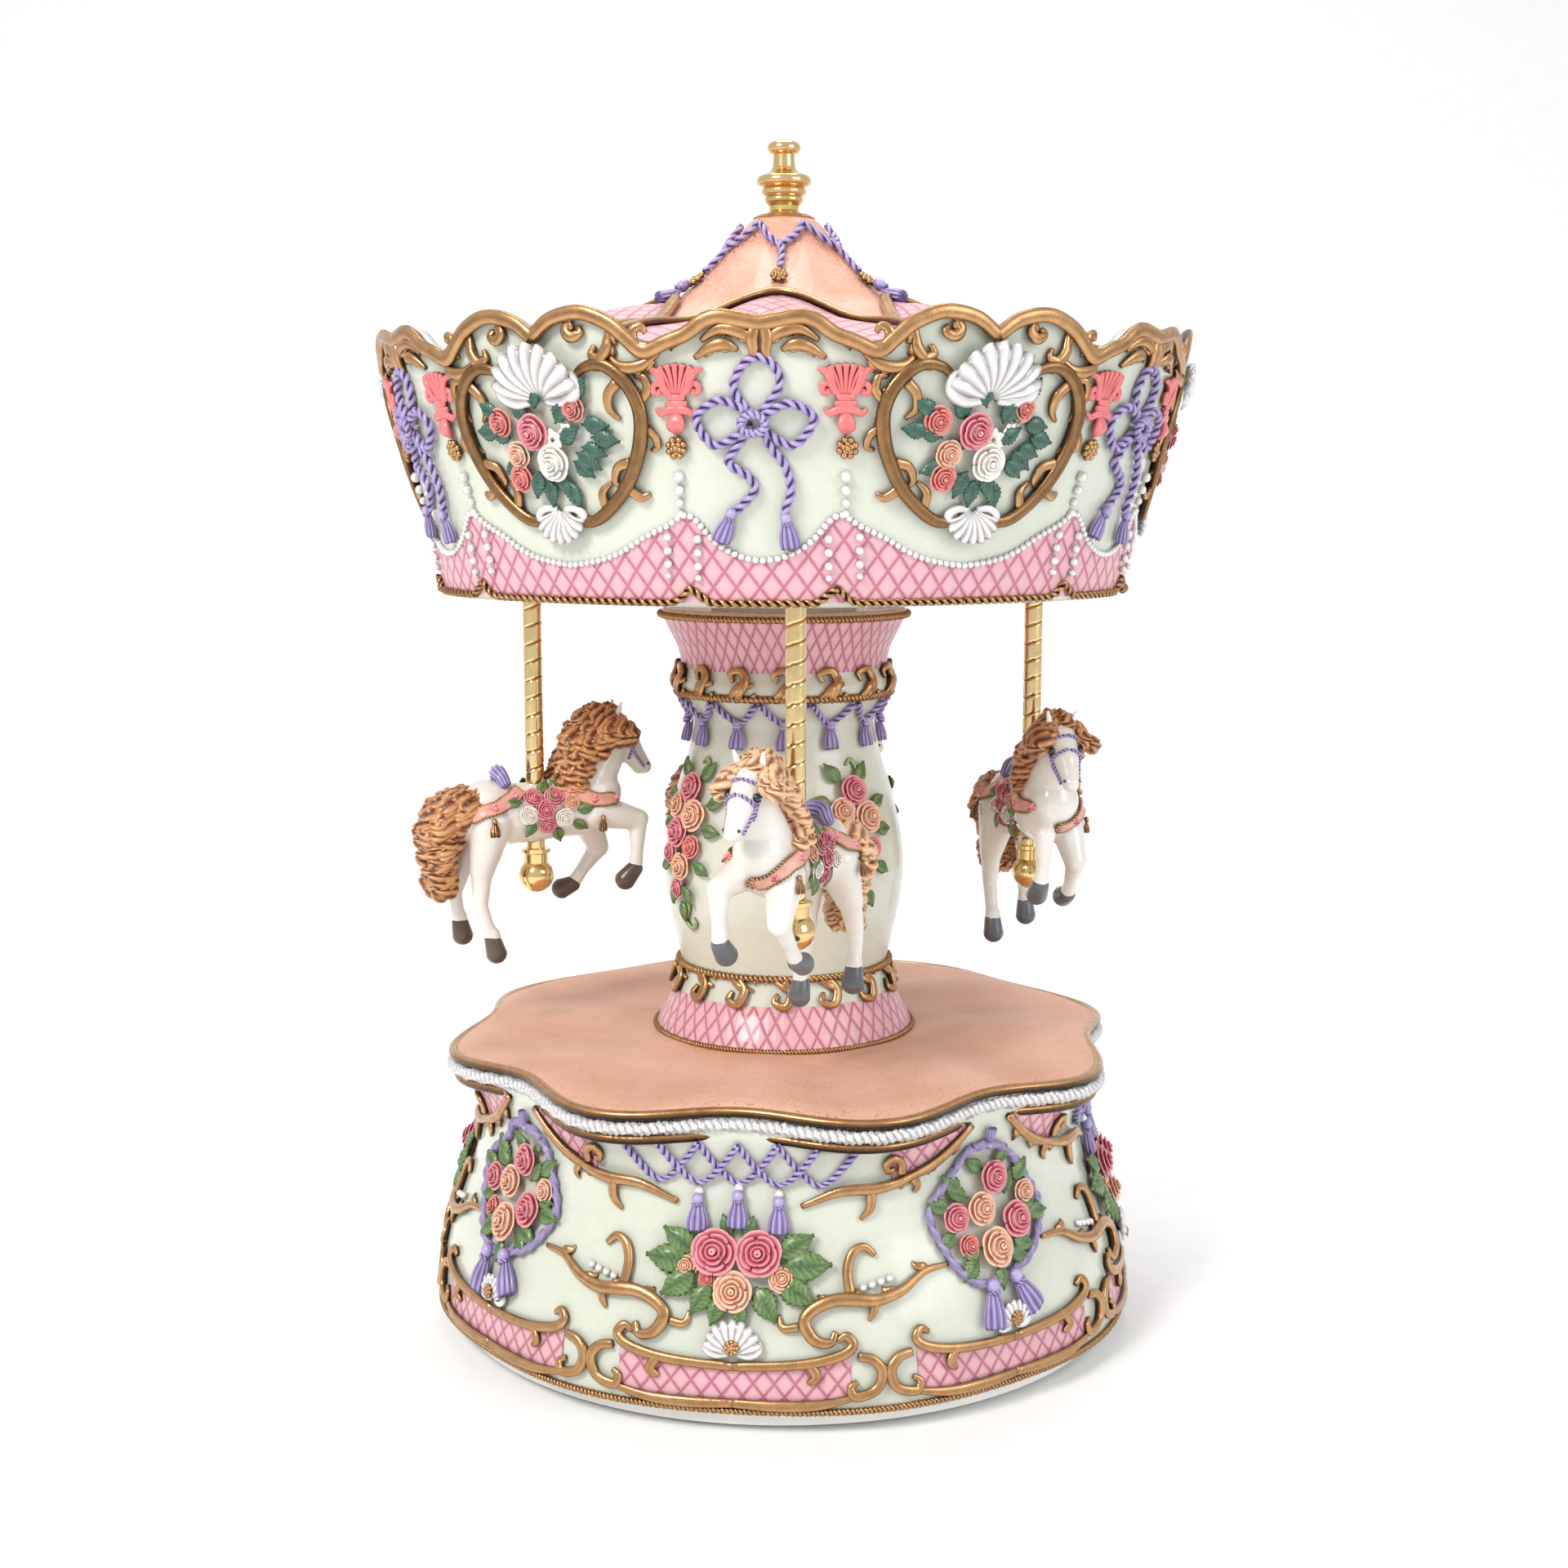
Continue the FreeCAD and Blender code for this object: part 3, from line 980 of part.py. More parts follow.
def make_wheel_train():
    """Pinned cylinder, governor arbor and the fan with its worm."""
    axis_z = drum_axis_z()
    length = dim("drum_length")
    start = dim("drum_start")
    pinion_r = dim("barrel_pitch_r") * dim("drum_teeth") / dim("barrel_teeth")
    drum = Part.makeCylinder(dim("drum_r"), length, vec(start), vec(1, 0, 0))
    pins = []
    step = length / dim("notes")
    for note in range(int(dim("notes"))):
        for pin in range(2):
            angle = 20.0 + (note * 137.5 + pin * 170.0) % 320.0
            turn = FreeCAD.Rotation(vec(1, 0, 0), angle)
            along = turn.multVec(vec(0, 1, 0))
            foot = vec(start + (note + 0.5) * step) + along * (dim("drum_r") - 0.5)
            pins.append(Part.makeCylinder(0.2, 0.85, foot, along))
    arbor = Part.makeCylinder(1.2, 32.0, vec(10.2), vec(1, 0, 0))
    cylinder = drum.fuse(pins + [arbor])
    cylinder.translate(vec(0, 0, axis_z))
    keep(feature("cylinder_shape", cylinder), "pinned_cylinder")

    pinion = toothed_disc(int(dim("drum_teeth")), pinion_r, 0.62, 0.55, 1.2, 1.6, -90.0)
    pinion.translate(vec(dim("barrel_pitch_r") - 0.8, 0, axis_z))
    keep(feature("cylinder_pinion_shape", pinion), "cylinder_pinion")
    wheel = toothed_disc(int(dim("wheel_teeth")), dim("wheel_pitch_r"), 0.5, 0.6,
                         1.2, 2.0, 180.0)
    wheel.translate(vec(36.0, 0, axis_z))
    keep(feature("cylinder_wheel_shape", wheel), "cylinder_wheel")

    reach = governor_reach()
    small_r = dim("wheel_pitch_r") * dim("governor_teeth") / dim("wheel_teeth")
    small = toothed_disc(int(dim("governor_teeth")), small_r, 0.5, 0.6, 0.0, 2.4,
                         180.0 / dim("governor_teeth"))
    small.translate(vec(35.8))
    arbor = Part.makeCylinder(0.8, 18.6, vec(22.6), vec(1, 0, 0))
    worm_wheel = toothed_disc(20, dim("worm_wheel_r"), 0.45, 0.6, 0.0, 1.5, 0.0)
    worm_wheel.translate(vec(27.0))
    governor = arbor.fuse([small, worm_wheel])
    governor.translate(vec(0, -reach, axis_z))
    keep(feature("governor_arbor_shape", governor), "governor_arbor")

    worm = worm_spot()
    top_z = dim("cup_top_z") + dim("bedplate_thickness")
    spindle = Part.makeCylinder(0.5, 28.0, worm + vec(0, 0, top_z + 7.0))
    threads = []
    for ring in range(8):
        threads.append(Part.makeCylinder(dim("worm_r"), 0.6,
                                         worm + vec(0, 0, axis_z - 4.0 + 1.0 * ring)))
    core = Part.makeCylinder(dim("worm_r") - 0.5, 8.0, worm + vec(0, 0, axis_z - 4.2))
    blade = Part.makeBox(9.0, 0.4, 5.0, worm + vec(-4.5, -0.2, top_z + 28.0))
    fan = spindle.fuse(threads + [core, blade]).removeSplitter()
    keep(feature("fan_shape", fan), "governor_fan")


# ---------------------------------------------------------------- build, check, export


def check_document():
    """Stops if any object failed or any sub-part isn't a sound solid."""
    document.recompute()
    for item in document.Objects:
        if "Invalid" in item.State or "Error" in item.State:
            raise RuntimeError(f"{item.Label} failed: {item.State}")
    for item in sub_parts:
        shape = item.Shape
        if shape.isNull() or not shape.isValid() or not shape.Solids:
            raise RuntimeError(f"{item.Label} has no valid solid")
        if min(solid.Volume for solid in shape.Solids) <= 0:
            raise RuntimeError(f"{item.Label} has a solid with no volume")


def export():
    """Writes each sub-part's shape to its own STEP file."""
    os.makedirs(OUT_FOLDER, exist_ok=True)
    wanted = {item.Label + ".step" for item in sub_parts}
    for name in os.listdir(OUT_FOLDER):
        if name.endswith(".step") and name not in wanted:
            os.remove(os.path.join(OUT_FOLDER, name))
    for item in sub_parts:
        item.Shape.exportStep(os.path.join(OUT_FOLDER, item.Label + ".step"))


def main():
    """Builds every sub-part, from the floor up."""
    make_bottom()
    make_base_casting()
    make_pillar()
    make_fixed_crown()
    make_canopy()
    make_crank_work()
    make_poles()
    make_horses()
    make_movement_frame()
    make_spring_drive()
    make_wheel_train()
    check_document()
    export()


main()
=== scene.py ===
"""The looks of the carousel music box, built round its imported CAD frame.

Shapes are worked out in millimetres and become metres when a mesh is made. Relief on the
canopy, base and pillar is drawn flat as (u, v, w): millimetres round the surface from a
motif's centre, height above the floor, and height above the surface. Angles round the axis
are counted from the front, -Y, positive towards +X.
"""

import math
import random

import bpy
import numpy as np
from mathutils import Matrix, Vector
from mathutils.bvhtree import BVHTree


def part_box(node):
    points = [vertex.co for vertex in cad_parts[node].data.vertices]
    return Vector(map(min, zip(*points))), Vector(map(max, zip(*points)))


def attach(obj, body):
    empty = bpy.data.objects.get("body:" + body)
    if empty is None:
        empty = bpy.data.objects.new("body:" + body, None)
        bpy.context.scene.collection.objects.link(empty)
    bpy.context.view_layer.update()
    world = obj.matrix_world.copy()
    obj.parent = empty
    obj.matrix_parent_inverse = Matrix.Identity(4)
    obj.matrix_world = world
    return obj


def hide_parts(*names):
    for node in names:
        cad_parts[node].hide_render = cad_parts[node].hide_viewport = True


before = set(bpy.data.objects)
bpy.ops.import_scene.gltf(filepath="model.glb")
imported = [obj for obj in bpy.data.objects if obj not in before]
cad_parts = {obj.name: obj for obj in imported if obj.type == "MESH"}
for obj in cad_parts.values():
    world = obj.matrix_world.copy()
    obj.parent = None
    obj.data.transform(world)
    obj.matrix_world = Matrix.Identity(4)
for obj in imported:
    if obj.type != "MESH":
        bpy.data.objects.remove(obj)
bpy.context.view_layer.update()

MM = 0.001
random.seed(7)


# ---------------------------------------------------------------- driving places


def node_middle(node):
    """The middle of a CAD node's box, in millimetres."""
    low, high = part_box(node)
    return (low + high) / 2 / MM


def node_top(node):
    """The top of a CAD node, in millimetres."""
    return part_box(node)[1].z / MM


def node_floor(node):
    """The bottom of a CAD node, in millimetres."""
    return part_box(node)[0].z / MM


# degrees round the axis of the first bow and of the base's first front motif
BOW_PHASE = -2.9
MOTIF_PHASE = -7.6
# where each horse looks at rest, in degrees from +X towards +Y
HORSE_HEADINGS = {1: -118.0, 2: -77.0, 3: 0.0, 4: 22.0}
PILLAR_TOP = node_top("pillar_casting")
DECK_Z = node_top("base_casting")
CANOPY_SIDES = 6
BASE_PANELS = 8


# ---------------------------------------------------------------- curves and tables


def smooth_line(points, per_span=8, closed=False):
    """A Catmull-Rom curve through the points, as an array."""
    points = np.asarray(points, float)
    count = len(points)
    spans = count if closed else count - 1
    result = []
    for index in range(spans):
        if closed:
            a, b, c, d = (points[(index + k) % count] for k in (-1, 0, 1, 2))
        else:
            b, c = points[index], points[index + 1]
            a = points[index - 1] if index else 2 * b - c
            d = points[index + 2] if index + 2 < count else 2 * c - b
        share = np.linspace(0, 1, per_span, endpoint=False)[:, None]
        result.append(0.5 * (2 * b + (c - a) * share + (2 * a - 5 * b + 4 * c - d) * share**2
                             + (3 * b - a - 3 * c + d) * share**3))
    result = np.concatenate(result)
    return result if closed else np.vstack([result, points[-1]])


def even_line(points, step, closed=False):
    """The points of a line, spaced evenly at about one step."""
    points = np.asarray(points, float)
    if closed:
        points = np.vstack([points, points[:1]])
    lengths = np.concatenate([[0], np.cumsum(np.linalg.norm(np.diff(points, axis=0), axis=1))])
    count = max(3, int(round(lengths[-1] / step)) + 1)
    marks = np.linspace(0, lengths[-1], count)
    line = np.stack([np.interp(marks, lengths, points[:, k]) for k in range(points.shape[1])], 1)
    return line[:-1] if closed else line


class Table:
    """A smooth function of one number through given pairs."""

    def __init__(self, pairs):
        line = smooth_line(pairs, 16)
        self.keys, self.values = line[:, 0], line[:, 1]

    def __call__(self, key):
        return np.interp(key, self.keys, self.values)

    def slope(self, key):
        """The function's slope at a key."""
        return (self(np.asarray(key) + 0.4) - self(np.asarray(key) - 0.4)) / 0.8


def smoothstep(low, high, value):
    """0 below low, 1 above high, smooth between."""
    share = np.clip((np.asarray(value) - low) / (high - low), 0, 1)
    return share * share * (3 - 2 * share)


def fold(angle, phase, parts):
    """Degrees from the nearest motif centre, for a pattern that repeats round the axis."""
    period = 360.0 / parts
    return (np.asarray(angle) - phase + period / 2) % period - period / 2


# ---------------------------------------------------------------- relief


class Relief:
    """Grids of points in millimetres, with a shading value from 0 (painted shade in crevices) to 1
    (painted highlight on edges).
    """

    def __init__(self):
        self.grids = []

    def grid(self, points, painted_shading=None, closed=False, cells=None):
        """Adds a grid (rows, columns, 3); closed joins its last column to its first."""
        points = np.asarray(points, float)
        if painted_shading is None:
            painted_shading = np.ones(points.shape[:2])
        painted_shading = np.broadcast_to(np.asarray(painted_shading, float), points.shape[:2])
        self.grids.append((points, painted_shading, closed, cells))
        return self

    def add(self, other, mapping=None):
        """Adds another relief's grids, moved by a mapping; a mirrored grid is turned round."""
        for points, painted_shading, closed, cells in other.grids:
            moved = points if mapping is None else mapping(points)
            if getattr(mapping, "mirror", 1) < 0:
                moved, painted_shading = moved[:, ::-1], painted_shading[:, ::-1]
                cells = None if cells is None else cells[:, ::-1]
            self.grids.append((moved, painted_shading, closed, cells))
        return self

    def piece(self, name, body, material, slot):
        """Makes one mesh object of all the grids and hangs it on a CAD body."""
        mesh = bpy.data.meshes.new(name)
        points, quads, painted_shading, cells = [], [], [], []
        start = 0
        for grid, shade, closed, cell in self.grids:
            rows, columns = grid.shape[:2]
            index = start + np.arange(rows * columns).reshape(rows, columns)
            if closed:
                index = np.concatenate([index, index[:, :1]], axis=1)
            quads.append(np.stack([index[:-1, :-1], index[:-1, 1:], index[1:, 1:],
                                   index[1:, :-1]], -1).reshape(-1, 4))
            points.append(grid.reshape(-1, 3))
            painted_shading.append(shade.reshape(-1))
            cells.append(np.zeros((rows * columns, 2)) if cell is None
                         else np.asarray(cell, float).reshape(-1, 2))
            start += rows * columns
        points = np.concatenate(points) * MM
        quads = np.concatenate(quads)
        cells = np.concatenate(cells)
        mesh.vertices.add(len(points))
        mesh.vertices.foreach_set("co", points.astype(np.float32).ravel())
        mesh.loops.add(quads.size)
        mesh.loops.foreach_set("vertex_index", quads.astype(np.int32).ravel())
        mesh.polygons.add(len(quads))
        mesh.polygons.foreach_set("loop_start", np.arange(0, quads.size, 4, dtype=np.int32))
        mesh.polygons.foreach_set("use_smooth", np.ones(len(quads), bool))
        mesh.update(calc_edges=True)
        layer = mesh.attributes.new("painted_shading", "FLOAT", "POINT")
        layer.data.foreach_set("value", np.concatenate(painted_shading).astype(np.float32))
        uv = mesh.uv_layers.new(name="cells")
        uv.data.foreach_set("uv", cells[quads.ravel()].astype(np.float32).ravel())
        mesh.validate()
        return hang(name, mesh, body, material)


def hang(name, mesh, body, material):
    """Links a mesh as an object that rides on a body."""
    item = bpy.data.objects.new(name, mesh)
    bpy.context.scene.collection.objects.link(item)
    mesh.materials.append(material)
    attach(item, body)
    return item


def frames_along(line, closed=False):
    """Tangents, and two normals of which the first leans towards +w."""
    if closed:
        tangent = np.roll(line, -1, 0) - np.roll(line, 1, 0)
    else:
        tangent = np.gradient(line, axis=0)
    tangent /= np.maximum(np.linalg.norm(tangent, axis=1, keepdims=True), 1e-9)
    up = np.broadcast_to(np.array([0.0, 0.0, 1.0]), line.shape)
    normal = up - tangent * np.sum(up * tangent, 1, keepdims=True)
    flat = np.linalg.norm(normal, axis=1, keepdims=True) < 0.15
    normal = np.where(flat, np.array([1.0, 0.0, 0.0]), normal)
    normal /= np.linalg.norm(normal, axis=1, keepdims=True)
    return tangent, normal, np.cross(tangent, normal)


def tube(relief, line, radii, sides=8, flat=1.0, closed=False, ridge=0.0, painted_shading=None):
    """A bar along a line; flat squeezes its height and ridge raises two ribs along it."""
    line = np.asarray(line, float)
    radii = np.broadcast_to(np.asarray(radii, float), (len(line),))
    _, normal, side = frames_along(line, closed)
    turn = np.linspace(0, 2 * math.pi, sides, endpoint=False)
    reach = 1 + ridge * np.cos(3 * (turn + math.pi / 3))
    across = (np.cos(turn) * reach * flat)[None, :, None] * normal[:, None]
    across = across + (np.sin(turn) * reach)[None, :, None] * side[:, None]
    grid = line[:, None] + across * radii[:, None, None]
    # by default the side facing out from the surface gets painted highlight, the side against it
    # painted shade, and the ribs more highlight
    if painted_shading is None:
        painted_shading = smoothstep(-0.6, 0.9, np.cos(turn) + 0.5 * (reach - 1) / max(ridge, 1e-6))
        painted_shading = np.broadcast_to(painted_shading, grid.shape[:2])
    if closed:
        grid = np.concatenate([grid, grid[:1]])
        painted_shading = np.concatenate([painted_shading, painted_shading[:1]])
    else:
        ends = [np.repeat(line[k][None, None], sides, 1) for k in (0, -1)]
        grid = np.concatenate([ends[0], grid, ends[1]])
        painted_shading = np.concatenate([painted_shading[:1], painted_shading, painted_shading[-1:]])
    return relief.grid(grid, painted_shading, closed=True)


# how much wider than drawn every carved scroll is made
STROKE_WEIGHT = 1.12


def stroke(relief, points, widths, height=0.85, lift=0.15, per_span=7):
    """A carved scroll along (u, v) points, its half widths given at the same points."""
    points = np.asarray(points, float)
    data = np.column_stack([points[:, :2], np.interp(np.arange(len(points)),
                            np.linspace(0, len(points) - 1, len(widths)), widths)])
    line = smooth_line(data, per_span)
    widths = np.maximum(line[:, 2] * STROKE_WEIGHT, 0.08)
    centre = np.column_stack([line[:, 0], line[:, 1], widths * (height * 0.55 + lift)])
    return tube(relief, centre, widths, 12, height, ridge=0.12)


def acanthus(relief, points, widths, side=1.0, leaflets=4, size=1.0):
    """A carved scroll with short leaves that curl off one side of it."""
    stroke(relief, points, widths, 1.0, 0.35)
    line = even_line(smooth_line(points), 0.3)
    ahead = np.gradient(line, axis=0)
    ahead /= np.maximum(np.linalg.norm(ahead, axis=1, keepdims=True), 1e-9)
    for step in range(leaflets):
        index = int(len(line) * (0.12 + 0.66 * step / leaflets))
        out = side * np.array([-ahead[index, 1], ahead[index, 0]])
        reach = size * (1.0 - 0.10 * step)
        leaf = [line[index] + reach * (along * ahead[index] + away * out)
                for along, away in ((0, 0), (1.2, 0.9), (2.5, 1.5), (3.1, 2.5))]
        stroke(relief, leaf, (0.5, 0.85, 0.65, 0.2), 0.9, 0.3)


def rope(relief, line, radius, pitch=None, closed=False, strands=2, sides=7):
    """A laid rope of two or three strands."""
    pitch = pitch or radius * 4.4
    line = even_line(line, radius * 0.42, closed)
    _, normal, side = frames_along(line, closed)
    steps = np.linalg.norm(np.diff(line, axis=0, append=line[-1:]), axis=1)
    travel = np.concatenate([[0], np.cumsum(steps)[:-1]])
    if closed:
        whole = travel[-1] + np.linalg.norm(line[0] - line[-1])
        turns = max(1, round(whole / pitch * strands)) / strands * strands
        pitch = whole / round(turns)
    for strand in range(strands):
        angle = 2 * math.pi * (travel / pitch + strand / strands)
        away = np.cos(angle)[:, None] * normal + np.sin(angle)[:, None] * side
        centre = line + away * radius * 0.46
        tangent = np.gradient(centre, axis=0)
        tangent /= np.linalg.norm(tangent, axis=1, keepdims=True)
        first = away - tangent * np.sum(away * tangent, 1, keepdims=True)
        first /= np.linalg.norm(first, axis=1, keepdims=True)
        second = np.cross(tangent, first)
        turn = np.linspace(0, 2 * math.pi, sides, endpoint=False)
        grid = centre[:, None] + radius * 0.56 * (
            np.cos(turn)[None, :, None] * first[:, None]
            + np.sin(turn)[None, :, None] * second[:, None])
        # painted highlight on each strand's outer side, painted shade where the strands meet
        painted_shading = np.broadcast_to(smoothstep(-0.5, 0.95, np.cos(turn)), grid.shape[:2])
        if closed:
            grid = np.concatenate([grid, grid[:1]])
            painted_shading = np.concatenate([painted_shading, painted_shading[:1]])
        else:
            grid = np.concatenate([grid[:1] * 0 + centre[0], grid, grid[:1] * 0 + centre[-1]])
            painted_shading = np.concatenate([painted_shading[:1], painted_shading, painted_shading[-1:]])
        relief.grid(grid, painted_shading, closed=True)
    return relief


def slab(relief, sheet, thickness, painted_shading=None):
    """A thin closed shell with the sheet (rows, columns, 3) as its outer face."""
    sheet = np.asarray(sheet, float)
    along, across = np.gradient(sheet, axis=0), np.gradient(sheet, axis=1)
    normal = np.cross(across, along)
    normal /= np.maximum(np.linalg.norm(normal, axis=2, keepdims=True), 1e-9)
    back = sheet - normal * thickness
    if painted_shading is None:
        painted_shading = np.ones(sheet.shape[:2])
    grid = np.concatenate([sheet, back[:, ::-1]], axis=1)
    # the back face gets 0.4 of the shading value: painted shade on the undersides
    shade = np.concatenate([painted_shading, painted_shading[:, ::-1] * 0.4], axis=1)
    middle = (sheet + back) / 2
    ends = [np.concatenate([middle[k:k + 1], middle[k:k + 1, ::-1]], axis=1)
            for k in (0, len(sheet) - 1)]
    grid = np.concatenate([ends[0], grid, ends[1]])
    shade = np.concatenate([shade[:1], shade, shade[-1:]])
    return relief.grid(grid, shade, closed=True)


def bead(relief, centre, radius, rows=7, columns=10, squash=1.0):
    """A ball, or a flattened one."""
    rise = np.linspace(-math.pi / 2, math.pi / 2, rows)[:, None]
    turn = np.linspace(0, 2 * math.pi, columns, endpoint=False)[None, :]
    ball = np.stack([np.cos(rise) * np.cos(turn), np.cos(rise) * np.sin(turn),
                     np.sin(rise) * np.ones_like(turn) * squash], -1)
    # painted highlight on the top of the ball, painted shade underneath
    painted_shading = np.broadcast_to(smoothstep(-1.0, 0.9, np.sin(rise)), ball.shape[:2])
    return relief.grid(np.asarray(centre, float) + ball * radius, painted_shading, closed=True)


def spin(points, angle):
    """Points turned by degrees in the (u, v) plane."""
    turn = math.radians(angle)
    u, v, w = points[..., 0], points[..., 1], points[..., 2]
    return np.stack([u * math.cos(turn) - v * math.sin(turn),
                     u * math.sin(turn) + v * math.cos(turn), w], -1)


def at(u, v, w=0.0, angle=0.0, scale=1.0, mirror=1.0):
    """A mapping that turns, scales and moves flat points."""
    def mapping(points):
        points = points * np.array([scale * mirror, scale, scale])
        return spin(points, angle) + np.array([u, v, w])
    mapping.mirror = mirror
    return mapping


# ---------------------------------------------------------------- ornament, drawn at unit size


def rose_head(seed):
    """A full rose of radius about 1, facing +w."""
    relief = Relief()
    draw = random.Random(seed)
    share = np.linspace(0, 1, 6)[:, None]
    side = np.linspace(-1, 1, 7)[None, :]
    rings = ((5, 0.60, 1.02, 0.16, 0.30, 0.78), (5, 0.40, 0.80, 0.26, 0.50, 0.72),
             (4, 0.22, 0.56, 0.36, 0.66, 0.75), (3, 0.08, 0.33, 0.46, 0.78, 0.9))
    for ring, (count, inner, outer, low, high, spread) in enumerate(rings):
        first = draw.uniform(0, 360)
        for petal in range(count):
            middle = math.radians(first + 360 * petal / count + draw.uniform(-8, 8))
            turn = middle + side * math.pi / count * spread * 1.35
            reach = inner + (outer - inner) * share**0.7 * (1 - 0.16 * np.abs(side)**2.5)
            curl = np.sin(share * math.pi * 0.62) * (1 - 0.25 * side**2)
            height = low + (high - low) * curl + 0.05 * np.abs(side)
            sheet = np.stack([reach * np.cos(turn), reach * np.sin(turn),
                              height + 0 * turn], -1)
            # painted shade at each petal's base and more on the inner rings, painted highlight at
            # the petal edges
            painted_shading = np.clip(0.15 + 0.95 * share**1.3 + 0 * side - 0.1 * ring, 0, 1)
            slab(relief, sheet[:, ::-1], 0.05, painted_shading[:, ::-1])
    spiral = np.linspace(0, 1, 22)
    line = np.stack([0.13 * (1 - 0.5 * spiral) * np.cos(9 * spiral),
                     0.13 * (1 - 0.5 * spiral) * np.sin(9 * spiral),
                     0.62 + 0.2 * spiral], -1)
    tube(relief, line, 0.07, 6)
    bead(relief, (0, 0, 0.12), 0.62, 6, 12, 0.7)
    return relief


def daisy_head(petals=6):
    """A small open flower of radius 1."""
    relief = Relief()
    share = np.linspace(0, 1, 5)[:, None]
    side = np.linspace(-1, 1, 5)[None, :]
    for petal in range(petals):
        turn = 360 * petal / petals
        width = np.sin(share * 2.6 + 0.35) * 0.42
        sheet = np.stack([side * width, 0.15 + 0.85 * share + 0 * side,
                          0.22 + 0.14 * share - 0.1 * side**2], -1)
        # painted shade at the petal bases, painted highlight towards the tips
        slab(relief, spin(sheet, turn), 0.08, 0.3 + 0.7 * share + 0 * side)
    return relief


def leaf_blade():
    """A veined leaf with a toothed edge, from (0, 0) to (0, 1)."""
    relief = Relief()
    share = np.linspace(0, 1, 15)[:, None]
    side = np.linspace(-1, 1, 9)[None, :]
    teeth = 1 - 0.14 * np.abs(np.sin(share * math.pi * 7)) * np.abs(side)
    width = 0.34 * np.sin(np.clip(share * 1.05, 0, 1)**0.75 * math.pi)**0.85 * teeth + 0.01
    veins = np.abs(np.sin(math.pi * (share * 6.5 - np.abs(side) * 1.3)))
    height = (0.13 * (1 - side**2) + 0.05 * veins * (1 - np.exp(-(side / 0.12)**2))
              + 0.10 * np.sin(share * math.pi))
    sheet = np.stack([side * width, share + 0.05 * np.abs(side), height], -1)
    # painted shade along the midrib and vein lines, painted highlight on the blade between them
    painted_shading = np.clip(0.2 + 0.75 * veins * np.abs(side)**0.4, 0, 1)
    return slab(relief, sheet, 0.07, painted_shading)


def shell_fan(ribs=9, spread=80):
    """A scallop of radius 1 that opens towards +v, with small ears at its hinge."""
    relief = Relief()
    share = np.linspace(0, 1, 9)[:, None]
    turn = np.linspace(-1, 1, ribs * 6 + 1)[None, :]
    angle = np.radians(turn * spread)
    groove = np.abs(np.cos(turn * ribs * math.pi / 2))
    edge = 1 + 0.07 * groove - 0.10 * np.abs(turn)**3
    reach = (0.08 + 0.92 * share) * edge
    height = (0.10 + 0.26 * np.sin(share * 2.4) + 0.10 * groove * share**0.7)
    height = height - 0.14 * np.abs(turn)**4 * share
    sheet = np.stack([reach * np.sin(angle), reach * np.cos(angle), height + 0 * angle], -1)
    # painted shade in the grooves between the ribs, painted highlight on the ribs
    painted_shading = np.clip(0.1 + 0.9 * groove + 0 * share, 0, 1)
    slab(relief, sheet, 0.12, painted_shading)
    for mirror in (-1, 1):
        curl = [(mirror * 0.15, 0.02), (mirror * 0.55, 0.0), (mirror * 0.82, 0.16),
                (mirror * 0.78, 0.38), (mirror * 0.60, 0.34), (mirror * 0.64, 0.22)]
        stroke(relief, curl, (0.08, 0.13, 0.12, 0.07), 1.0)
    return relief


def tassel_drop():
    """A tassel of length 1 that hangs from (0, 0) to (0, -1)."""
    relief = Relief()
    bead(relief, (0, -0.10, 0.16), 0.17, 8, 12)
    down = np.linspace(0, 1, 10)[:, None]
    turn = np.linspace(0, 2 * math.pi, 36, endpoint=False)[None, :]
    strands = 1 + 0.12 * np.cos(9 * turn)
    width = (0.10 + 0.17 * np.sin(down * 1.9)) * strands
    grid = np.stack([width * np.cos(turn), -0.20 - 0.78 * down + 0.03 * np.cos(9 * turn) * down,
                     0.14 + 0.62 * width * np.sin(turn)], -1)
    # painted shade between the strands and at the bottom tip, painted highlight on the strands
    painted_shading = np.clip(0.55 + 0.45 * np.cos(9 * turn) + 0 * down, 0, 1)
    caps = [grid[:1] * 0 + np.array([0, height, 0.14]) for height in (-0.20, -0.96)]
    painted_shading = np.concatenate([painted_shading[:1], painted_shading, painted_shading[-1:] * 0])
    relief.grid(np.concatenate([caps[0], grid, caps[1]]), painted_shading, closed=True)
    rope(relief, [(-0.14, -0.24, 0.2), (0, -0.26, 0.30), (0.14, -0.24, 0.2)], 0.045)
    return relief


def rosette():
    """A knot of little gold petals of radius 1."""
    relief = Relief()
    for reach, count, size in ((0.66, 8, 0.30), (0.34, 5, 0.28), (0.0, 1, 0.3)):
        for petal in range(count):
            turn = 2 * math.pi * petal / count
            bead(relief, (reach * math.cos(turn), reach * math.sin(turn), 0.25 + 0.3 * (1 - reach)),
                 size, 6, 8)
    return relief


